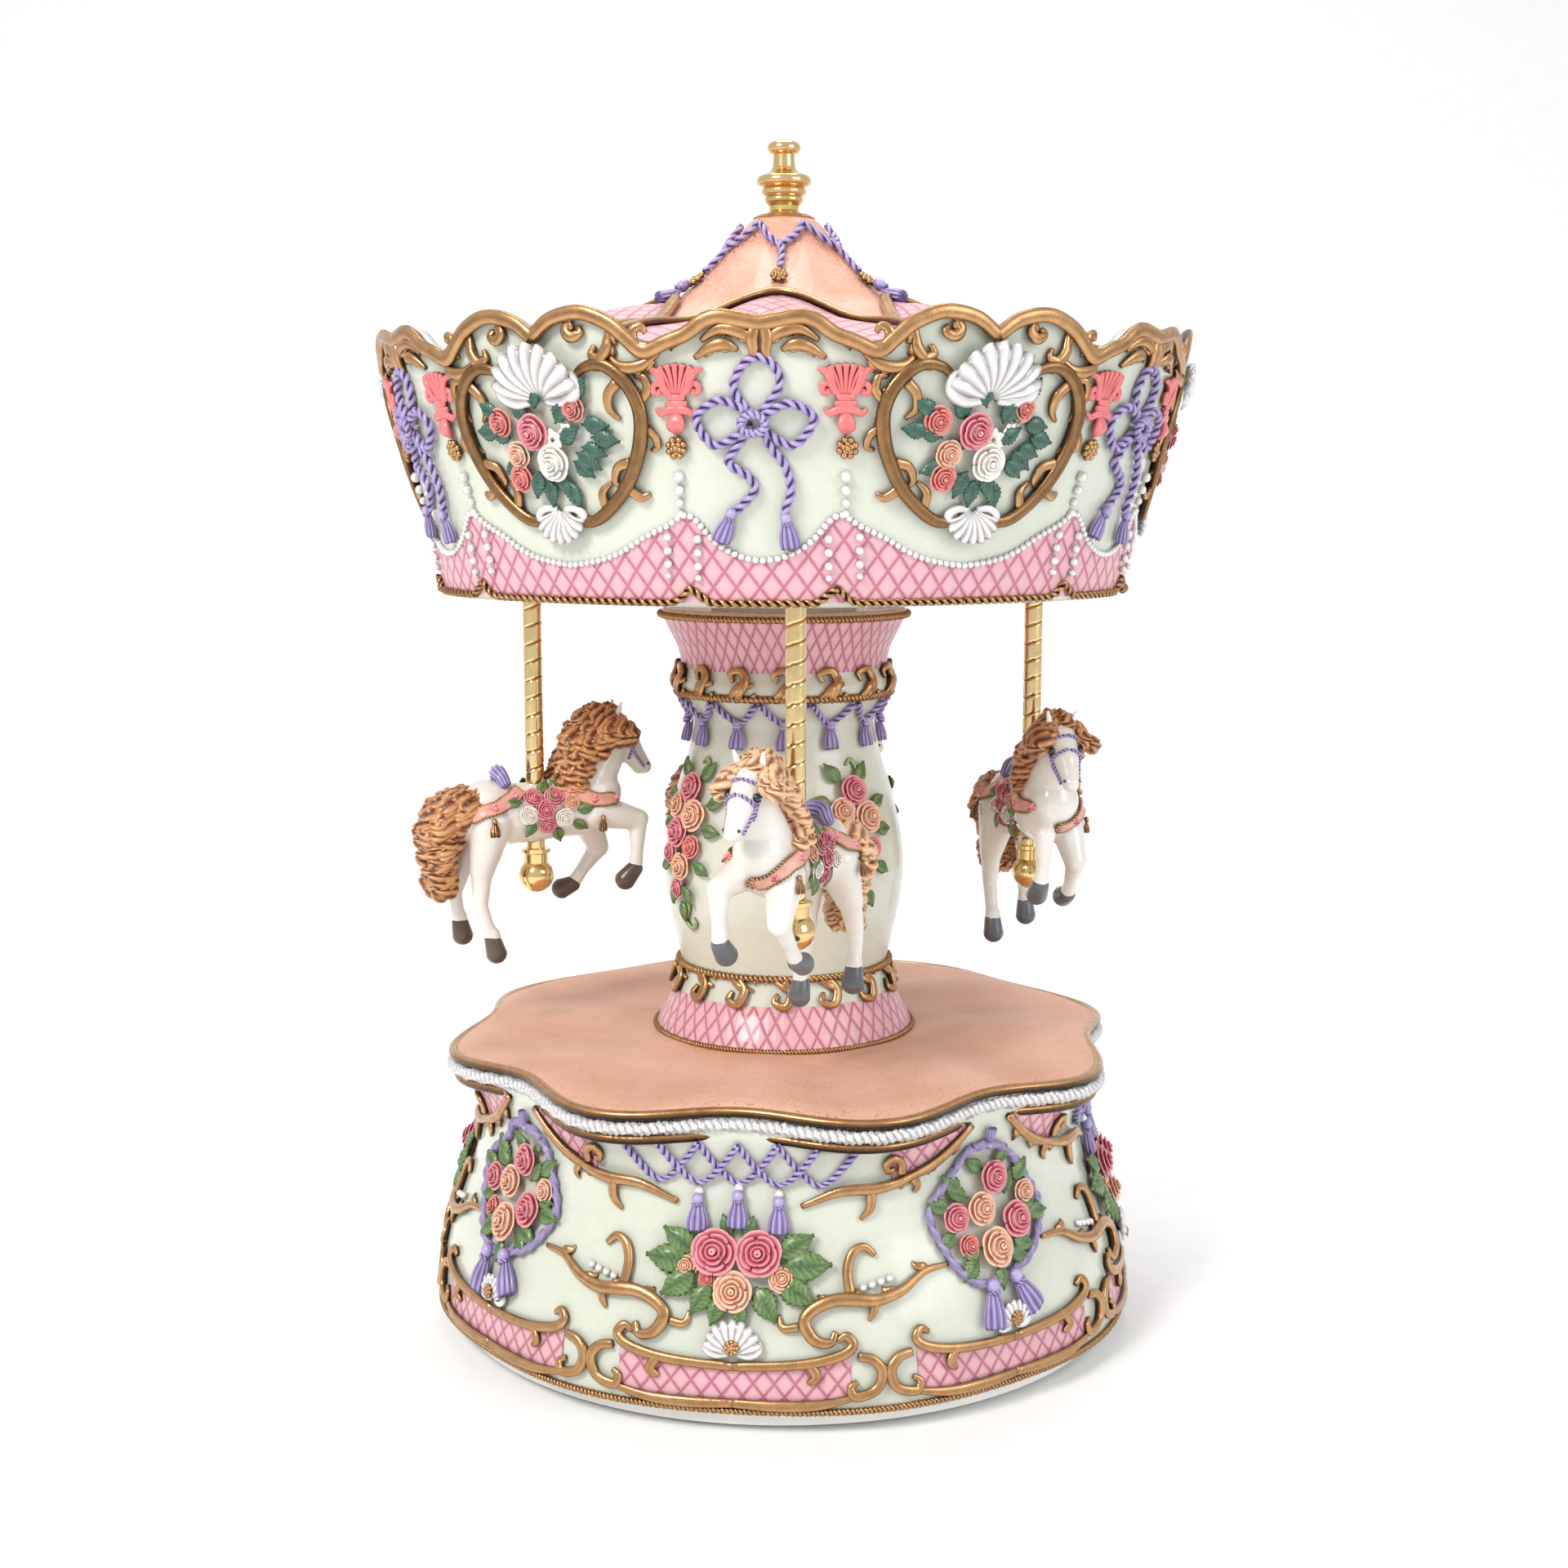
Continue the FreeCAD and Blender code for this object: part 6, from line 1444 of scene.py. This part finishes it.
HOOVES = (((-13.5, -5.6, 99.6), (-12.6, -5.6, 96.0)), ((-19.4, 5.8, 102.6), (-18.8, 5.8, 99.2)),
          ((25.4, -6.0, 116.0), (22.8, -6.0, 113.2)), ((11.7, 6.4, 110.6), (8.8, 6.4, 109.6)))


def limb(relief, start, start_r, end, end_r, sides=20):
    """A round-ended bar between two points of space."""
    start, end = np.array(start, float), np.array(end, float)
    axis = end - start
    length = np.linalg.norm(axis)
    axis /= length
    other = np.array([0, 1.0, 0]) if abs(axis[1]) < 0.9 else np.array([1.0, 0, 0])
    first = np.cross(other, axis)
    first /= np.linalg.norm(first)
    second = np.cross(axis, first)
    rise = np.linspace(-math.pi / 2, math.pi / 2, 16)
    along = np.where(rise < 0, np.sin(rise) * start_r, length + np.sin(rise) * end_r)
    reach = np.where(rise < 0, np.cos(rise) * start_r, np.cos(rise) * end_r)
    turn = np.linspace(0, 2 * math.pi, sides, endpoint=False)
    ring = np.cos(turn)[:, None] * first + np.sin(turn)[:, None] * second
    grid = start + along[:, None, None] * axis + reach[:, None, None] * ring[None]
    return relief.grid(grid, 1.0, closed=True)


def merged(relief, name, voxel, smooth, body_slot):
    """One smooth mesh from overlapping grids, by voxel remeshing and smoothing."""
    rough = relief.piece(name + "_rough", "base", CREAM, body_slot)
    remesh = rough.modifiers.new("remesh", "REMESH")
    remesh.mode = "VOXEL"
    remesh.voxel_size = voxel * MM
    ease = rough.modifiers.new("ease", "SMOOTH")
    ease.factor = 0.6
    ease.iterations = smooth
    graph = bpy.context.evaluated_depsgraph_get()
    mesh = bpy.data.meshes.new_from_object(rough.evaluated_get(graph))
    old = rough.data
    bpy.data.objects.remove(rough)
    bpy.data.meshes.remove(old)
    mesh.materials.clear()
    mesh.polygons.foreach_set("use_smooth", np.ones(len(mesh.polygons), bool))
    return mesh


def lock(relief, points, radii, ribs=5):
    """A lock of hair: a wavy tapering bar with strands along it."""
    line = smooth_line(np.array(points, float), 7)
    size = np.interp(np.linspace(0, 1, len(line)), np.linspace(0, 1, len(radii)), radii)
    _, normal, side = frames_along(line)
    turn = np.linspace(0, 2 * math.pi, 30, endpoint=False)
    strands = np.cos(ribs * turn)
    reach = 1 + 0.17 * strands
    across = (np.cos(turn) * reach)[None, :, None] * normal[:, None]
    across = across + (np.sin(turn) * reach)[None, :, None] * side[:, None]
    grid = line[:, None] + across * size[:, None, None]
    # painted shade between the strands of each lock, painted highlight on their ridges
    painted_shading = np.broadcast_to(np.clip(0.42 + 0.5 * strands, 0, 1), grid.shape[:2])
    ends = [np.repeat(line[k][None, None], 30, 1) for k in (0, -1)]
    relief.grid(np.concatenate([ends[0], grid, ends[1]]),
                np.concatenate([painted_shading[:1], painted_shading, painted_shading[-1:]]), closed=True)
    return relief


def curl_lock(relief, start, aim, length, radius, draw, curl=1.0):
    """A lock that sets off one way in an S and ends in a hooked curl."""
    start, aim = np.array(start, float), np.array(aim, float)
    aim /= np.linalg.norm(aim)
    side = np.cross(aim, [0.0, 1.0, 0.0])
    side /= max(np.linalg.norm(side), 1e-6)
    out = np.cross(side, aim)
    phase = draw.uniform(0, 6.28)
    points = []
    for step in range(6):
        share = step / 5
        bend = curl * length * 0.10 * math.sin(phase + share * 5.0)
        points.append(start + aim * length * 0.8 * share + side * bend
                      + out * curl * length * 0.06 * math.cos(phase + share * 4.2))
    hook = 0.16 * length * (1 if draw.random() < 0.5 else -1)
    end = points[-1]
    for step in range(1, 7):
        turn = step * 0.8
        reach = 1 - 0.09 * step
        points.append(end + side * hook * (1 - reach * math.cos(turn))
                      + aim * abs(hook) * reach * math.sin(turn) * 1.3 + out * 0.12 * step)
    return lock(relief, points, (radius * 0.65, radius * 1.1, radius, radius * 0.72,
                                 radius * 0.3), 4)


def horse_hair(draw):
    """The mane, forelock and tail, as heaps of chunky locks."""
    hair = Relief()
    crest = smooth_line(np.array([(9.5, 0, 143.5), (9.5, 0, 150), (12.5, 0, 156.5),
                                  (16.6, 0, 159.4), (19.6, 0, 158.4)], float), 6)
    for index, spot in enumerate(crest):
        share = index / (len(crest) - 1)
        for side in (-1, 1):
            for row in range(3):
                start = spot + np.array([draw.uniform(-1, 1) + 1.2 * row,
                                         side * (0.9 + 1.5 * row), -1.6 * row])
                aim = (-0.5 + 0.9 * share, side * (0.30 + 0.14 * row), -0.9)
                curl_lock(hair, start, aim, draw.uniform(5.0, 7.0), draw.uniform(1.6, 2.1),
                          draw, 1.9)
    for side in (-0.8, 0, 0.8):
        curl_lock(hair, (21.2, 1.6 * side, 157.4), (0.5, 0.1 * side, -0.86), 4.4, 1.3, draw, 1.5)
    root = smooth_line(np.array([(-17, 0, 138.4), (-21.4, 0, 137.6), (-25.0, 0, 133),
                                 (-25.6, 0, 125), (-25.0, 0, 117)], float), 5)
    for index, spot in enumerate(root):
        share = index / (len(root) - 1)
        for turn in range(7):
            angle = 2 * math.pi * turn / 7 + index
            away = np.array([0.62 * math.cos(angle), math.sin(angle), 0.0])
            start = spot + away * (1.6 + 2.6 * math.sin(math.pi * min(1, share + 0.15)))
            aim = (-0.14 + 0.25 * away[0], 0.35 * away[1], -0.9)
            curl_lock(hair, start, aim, draw.uniform(5.4, 7.6) * (1 - 0.25 * share),
                      draw.uniform(1.9, 2.6), draw, 1.6)
    return hair


def on_skin(tree, points, lift):
    """Points moved to the nearest spot of the horse's skin, then out by a lift."""
    result, normals = [], []
    for point in points:
        spot, normal, _, _ = tree.find_nearest(Vector(point) * MM)
        result.append(np.array(spot) / MM + np.array(normal) * lift)
        normals.append(np.array(normal))
    return np.array(result), np.array(normals)


def strap(tree, points, width, band, borders, hearts):
    """A flat band over the skin, with twisted borders and small hearts along it."""
    line = even_line(smooth_line(np.array(points, float), 8), 0.8)
    centre, normal = on_skin(tree, line, 0.35)
    tangent = np.gradient(centre, axis=0)
    tangent /= np.maximum(np.linalg.norm(tangent, axis=1, keepdims=True), 1e-9)
    side = np.cross(normal, tangent)
    rows = []
    for share in np.linspace(-1, 1, 7):
        edge, _ = on_skin(tree, centre + side * width * share, 0.42 + 0.2 * (1 - share**2))
        rows.append(edge)
    sheet = np.stack(rows, axis=1)
    slab(band, sheet, 0.5, np.full(sheet.shape[:2], 0.8))
    for column in (0, -1):
        border = rows[column] + normal * 0.25
        rope(borders, even_line(border, 0.5), 0.42)
    for index in range(5, len(centre) - 3, 9):
        for lobe in (-1, 1):
            bead(hearts, centre[index] + normal[index] * 0.55 + side[index] * 0.5 * lobe,
                 0.78, 6, 8)
        bead(hearts, centre[index] + normal[index] * 0.5 - tangent[index] * 0.75, 0.62, 6, 8)


def stand_on(tree, drawing, spot, scale, turn=0.0):
    """A drawing stood on the skin nearest a spot, facing outwards."""
    centre, normal = on_skin(tree, [spot], 0.1)
    out = normal[0]
    up = np.array([0.0, 0.0, 1.0]) - out * out[2]
    up /= max(np.linalg.norm(up), 1e-6)
    along = np.cross(up, out)

    def mapping(points):
        flat = spin(points, turn) * scale
        return (centre[0] + flat[..., :1] * along + flat[..., 1:2] * up
                + flat[..., 2:3] * out)
    return Relief().add(drawing, mapping)


def dress_flank(tree, parts, side):
    """One side's straps, blanket flowers, leaves and tassels."""
    strap(tree, [(19.5, 0.2 * side, 131), (15.5, 7.5 * side, 134.5), (9, 9 * side, 138),
                 (4.5, 6 * side, 140.5)], 1.7, parts["band"], parts["border"],
          parts["heart"])
    strap(tree, [(-20.5, 1.4 * side, 133.5), (-17, 6.8 * side, 132.5),
                 (-10, 9 * side, 136.4), (-5.2, 6.2 * side, 140.2)], 1.7, parts["band"],
          parts["border"], parts["heart"])
    for spot, kind, size in (((3.2, 8 * side, 137.0), "pink", 2.3),
                             ((-2.4, 8 * side, 137.4), "pink", 2.1),
                             ((7.6, 8 * side, 135.4), "peach", 1.9),
                             ((0.4, 9 * side, 133.6), "pink", 2.2),
                             ((5.6, 9 * side, 131.2), "white", 2.0),
                             ((-4.0, 9 * side, 132.4), "white", 2.0),
                             ((1.2, 9 * side, 129.0), "pink", 1.9)):
        rose = ROSES[int(abs(spot[0]) * 10) % len(ROSES)]
        parts[kind].add(stand_on(tree, rose, spot, 1.25 * size))
    for spot, turn in (((5.4, 8 * side, 138.6), 40), ((-0.6, 8 * side, 139.4), -30),
                       ((-5.6, 8 * side, 135.6), 80), ((9.0, 8 * side, 133.0), -80),
                       ((3.0, 9 * side, 134.4), 10), ((-2.2, 9 * side, 130.6), 150),
                       ((3.6, 9 * side, 127.8), 200), ((8.0, 9 * side, 129.8), -120)):
        parts["leaf"].add(stand_on(tree, LEAF, spot, 4.8, turn))
    parts["gold"].add(stand_on(tree, TASSEL, (-13.4, 8.5 * side, 131.4), 4.6))
    parts["gold"].add(stand_on(tree, TASSEL, (15.6, 8.0 * side, 131.4), 4.0))


def dress_face(tree, parts, side):
    """One side's bridle, rose, eye, nostril and ear."""
    bridle = (((29.6, 2.4 * side, 142.6), (27.0, 3.4 * side, 146.0),
               (23.4, 4.4 * side, 152.4), (21.2, 3.4 * side, 156.0)),
              ((26.6, 0.1 * side, 150.2), (25.8, 3.2 * side, 147.6),
               (25.2, 2.4 * side, 145.0)),
              ((23.4, 4.2 * side, 152.0), (26.0, 0.2 * side, 154.4)))
    for line in bridle:
        path, _ = on_skin(tree, even_line(smooth_line(np.array(line, float), 6), 0.5), 0.3)
        rope(parts["purple"], path, 0.5)
    parts["pink"].add(stand_on(tree, ROSES[side], (22.6, 4.6 * side, 152.0), 1.5))
    for spot, size in (((26.0, 4.6 * side, 150.6), 1.0), ((30.6, 1.6 * side, 143.4), 0.42)):
        eye, out = on_skin(tree, [spot], 0.0)
        bead(parts["eye"], eye[0] + out[0] * 0.15 * size, size, 9, 12)
    limb(parts["white"], (21.6, 2.6 * side, 155.6), 1.25, (22.8, 3.8 * side, 160.2), 0.35)


def saddle_rolls(parts):
    """The lilac rolls at the saddle's back and front."""
    cantle = [(-8.8, -4.4, 139.8), (-9.8, -2.4, 142.4), (-10.0, 0, 143.0), (-9.8, 2.4, 142.4),
              (-8.8, 4.4, 139.8)]
    lock(parts["lilac"], cantle, (1.3, 1.7, 1.8, 1.7, 1.3), 9)
    pommel = [(6.4, -3.6, 140.6), (7.0, -1.8, 142.2), (7.1, 0, 142.6), (7.0, 1.8, 142.2),
              (6.4, 3.6, 140.6)]
    lock(parts["lilac"], pommel, (0.8, 1.1, 1.2, 1.1, 0.8), 7)


def horse_dress(tree):
    """Straps, saddle, bridle, blanket flowers and eyes, sorted by paint."""
    parts = {key: Relief() for key in
             ("band", "border", "heart", "purple", "lilac", "pink", "peach", "white",
              "leaf", "gold", "eye")}
    for side in (-1, 1):
        dress_flank(tree, parts, side)
        dress_face(tree, parts, side)
    saddle_rolls(parts)
    return parts


def placed_mesh(mesh, place):
    """A copy of a mesh, moved for good."""
    copy = mesh.copy()
    copy.transform(place)
    return copy


HORSE_PAINT = {
    "band": ("harness_band", "pink_resin"),
    "border": ("harness_border", "antique_gold"),
    "heart": ("harness_hearts", "rose_pink"),
    "purple": ("bridle", "saddle_purple"),
    "lilac": ("saddle_rolls", "saddle_purple"),
    "pink": ("blanket_pink_roses", "rose_pink"),
    "peach": ("blanket_peach_roses", "rose_peach"),
    "white": ("blanket_white_roses", "petal_white"),
    "leaf": ("blanket_leaves", "leaf_green"),
    "gold": ("harness_tassels", "antique_gold"),
    "eye": ("eyes", "hoof_grey"),
}

HORSE_WHITE = plain_paint("horse_white_paint", (0.70, 0.66, 0.59), (0.79, 0.77, 0.71), 0.24,
                          0.0, 0.6, 0.012, 0.002, 0.08)
HAIR_GINGER = paint("ginger_hair_paint", (0.10, 0.025, 0.008), (0.46, 0.19, 0.065),
                    (0.76, 0.43, 0.20), 0.38)
HAIR_GOLDEN = paint("golden_hair_paint", (0.24, 0.09, 0.04), (0.72, 0.42, 0.22),
                    (0.90, 0.66, 0.42), 0.38)
HOOF_BROWN = plain_paint("brown_hoof_paint", (0.055, 0.035, 0.022), (0.11, 0.07, 0.045), 0.36,
                         0.0, 0.3)
HOOF_GREY = plain_paint("grey_hoof_paint", (0.07, 0.075, 0.085), (0.13, 0.135, 0.145), 0.34,
                        0.0, 0.3)
EYE = plain_paint("eye_paint", (0.008, 0.006, 0.006), (0.015, 0.012, 0.012), 0.08, 0.0, 1.0)
SALMON = paint("salmon_band_paint", (0.50, 0.20, 0.14), (0.86, 0.50, 0.40),
               (0.93, 0.64, 0.54), 0.36)
LILAC = paint("lilac_roll_paint", (0.10, 0.07, 0.24), (0.36, 0.31, 0.62),
              (0.58, 0.54, 0.80), 0.32)
HORSE_MATERIAL = {"band": SALMON, "border": GOLD, "heart": ROSE_PINK, "purple": PURPLE,
                  "lilac": LILAC, "pink": ROSE_PINK, "peach": ROSE_PEACH, "white": PETAL,
                  "leaf": LEAF_GREEN, "gold": GOLD, "eye": EYE}


def build_horses():
    """Four castings of one horse, each on its pole and turned its own way."""
    muscles = Relief()
    for start, start_r, end, end_r in HORSE_MUSCLES:
        limb(muscles, start, start_r, end, end_r)
    skin = merged(muscles, "horse", 0.55, 8, "horse_white")
    graph_points = [vertex.co.copy() for vertex in skin.vertices]
    tree = BVHTree.FromPolygons(graph_points, [tuple(face.vertices) for face in skin.polygons])
    hoofs = Relief()
    for start, end in HOOVES:
        limb(hoofs, start, 2.2, end, 2.8)
    sets = {"hair": horse_hair(random.Random(11)), "hooves": hoofs}
    sets.update(horse_dress(tree))
    for number in range(1, 5):
        middle = node_middle(f"pole_{number}")
        place = (Matrix.Translation(Vector((middle.x, middle.y, pole_lift(number))) * MM)
                 @ Matrix.Rotation(math.radians(HORSE_HEADINGS[number]), 4, "Z"))
        body = f"horse_{number}"
        white = hang(f"{body}_skin", placed_mesh(skin, place), body, HORSE_WHITE)
        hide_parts(body)
        golden = number == 1
        hoof = HOOF_GREY if number < 3 else HOOF_BROWN
        for key, relief in sets.items():
            if key == "hair":
                name, material, slot = "hair", HAIR_GOLDEN if golden else HAIR_GINGER, "horse_hair"
            elif key == "hooves":
                name, material, slot = "hooves", hoof, "hoof_grey"
            else:
                name, slot = HORSE_PAINT[key]
                material = HORSE_MATERIAL[key]
            piece = relief.piece(f"{body}_{name}", body, material, slot)
            piece.data.transform(place)


# ---------------------------------------------------------------- carried-over CAD nodes

NODE_PAINT = {
    "polished_brass": BRASS, "gear_brass": GEAR_BRASS, "spring_steel": STEEL,
    "screw_steel": SCREW, "white_plastic": WHITE_PLASTIC, "felt": FELT,
    "antique_gold": plain_paint("gold_washer_paint", (0.34, 0.20, 0.07), (0.62, 0.41, 0.17),
                                0.32, 0.8, 0.1),
    "cream_resin": CREAM, "peach_resin": PEACH,
}
NODE_SLOTS = {
    "polished_brass": ("finial", "pole_bushings", "pole_ball_1", "pole_ball_2", "pole_ball_3",
                       "pole_ball_4"),
    "gear_brass": ("spring_barrel", "centre_sleeve", "lower_bush", "fixed_crown_gear",
                   "movement_bedplate", "arbor_brackets", "governor_frame", "winding_key",
                   "pinned_cylinder", "cylinder_pinion", "cylinder_wheel"),
    "spring_steel": ("comb", "drive_shaft", "mainspring", "winding_arbor", "governor_arbor",
                     "crank_shaft_1", "crank_shaft_2", "crank_shaft_3", "crank_shaft_4"),
    "screw_steel": ("cover_screws", "movement_screws", "comb_screws", "ceiling_screws"),
    "white_plastic": ("bottom_cover", "spacer_disc", "canopy_hub", "crank_bearings",
                      "governor_fan", "crank_pinion_1", "crank_pinion_2", "crank_pinion_3",
                      "crank_pinion_4", "pole_yoke_1", "pole_yoke_2", "pole_yoke_3",
                      "pole_yoke_4"),
    "felt": ("felt_ring",),
    "antique_gold": ("finial_washer",),
    "peach_resin": ("ceiling_plate",),
}


def paint_nodes():
    """Gives every CAD node that is still shown its own finish."""
    for slot, names in NODE_SLOTS.items():
        for name in names:
            node = bpy.data.objects[name]
            node.data.materials.clear()
            node.data.materials.append(NODE_PAINT[slot])
            for face in node.data.polygons:
                face.material_index = 0


# ---------------------------------------------------------------- light and camera


def area_light(name, place, target, size, power, colour=(1, 1, 1)):
    """A soft rectangular lamp that looks at a target."""
    lamp = bpy.data.lights.new(name, "AREA")
    lamp.shape = "RECTANGLE"
    lamp.size, lamp.size_y = size
    lamp.energy = power
    lamp.color = colour
    item = bpy.data.objects.new(name, lamp)
    item.location = place
    item.rotation_euler = (Vector(target) - Vector(place)).to_track_quat("-Z", "Y").to_euler()
    bpy.context.scene.collection.objects.link(item)
    return item


def set_stage():
    """A white sweep behind and under the object."""
    share = np.linspace(0, 1, 40)
    forward = np.where(share < 0.5, -1.2 + share * 3.6, 0.6 + np.sin((share - 0.5) * math.pi) * 0.5)
    height = np.where(share < 0.5, 0.0, (1 - np.cos((share - 0.5) * math.pi)) * 1.3) - 0.0002
    across = np.linspace(-2.5, 2.5, 12)
    vertices = [(x, y, z) for y, z in zip(forward, height) for x in across]
    faces = [(r * 12 + c, r * 12 + c + 1, (r + 1) * 12 + c + 1, (r + 1) * 12 + c)
             for r in range(39) for c in range(11)]
    mesh = bpy.data.meshes.new("sweep")
    mesh.from_pydata(vertices, [], faces)
    mesh.polygons.foreach_set("use_smooth", np.ones(len(mesh.polygons), bool))
    sweep = bpy.data.objects.new("sweep", mesh)
    mesh.materials.append(plain_paint("sweep_paper", (0.90, 0.90, 0.90), (0.93, 0.93, 0.93),
                                      0.9, relief=0.0))
    bpy.context.scene.collection.objects.link(sweep)


def set_light():
    """A bright white room with a key from the upper left and a fill from the right."""
    world = bpy.data.worlds.new("room")
    bpy.context.scene.world = world
    world.use_nodes = True
    sky = world.node_tree.nodes["Background"]
    sky.inputs["Color"].default_value = (0.97, 0.98, 1.0, 1)
    sky.inputs["Strength"].default_value = 0.72
    area_light("key", (-0.55, -0.75, 0.85), (0, 0, 0.16), (0.35, 0.35), 9.0, (1.0, 0.98, 0.95))
    area_light("fill", (0.75, -0.55, 0.45), (0, 0, 0.15), (0.5, 0.5), 2.6, (0.95, 0.97, 1.0))
    area_light("top", (0.0, 0.25, 1.0), (0, 0, 0.2), (0.5, 0.3), 3.6)


def set_camera():
    """The photo's view: close, in front and a little above the horses."""
    lens = bpy.data.cameras.new("camera")
    lens.lens = 49.3
    lens.sensor_width = 36.0
    lens.clip_start = 0.01
    camera = bpy.data.objects.new("camera", lens)
    camera.location = (0.0, -0.563, 0.219)
    camera.rotation_euler = (math.radians(82), 0, 0)
    bpy.context.scene.collection.objects.link(camera)
    bpy.context.scene.camera = camera
    bpy.context.scene.view_settings.view_transform = "Standard"


# ---------------------------------------------------------------- build


def stand_in(name, *nodes):
    """Hides the CAD nodes that a finished piece is shown instead of."""
    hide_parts(*nodes)


def main():
    """Builds every piece, from the canopy down, then the light and the camera."""
    build_fascia()
    build_fascia_lattice()
    build_canopy_ornament()
    build_roof()
    build_pillar()
    build_base_skin()
    build_cornice()
    build_base_ornament()
    build_poles()
    build_horses()
    stand_in("fascia_skin", "canopy_rounding_board")
    stand_in("roof_skin", "roof_shell")
    stand_in("pillar_skin", "pillar_casting")
    stand_in("base_skin", "base_casting")
    paint_nodes()
    set_stage()
    set_light()
    set_camera()


main()
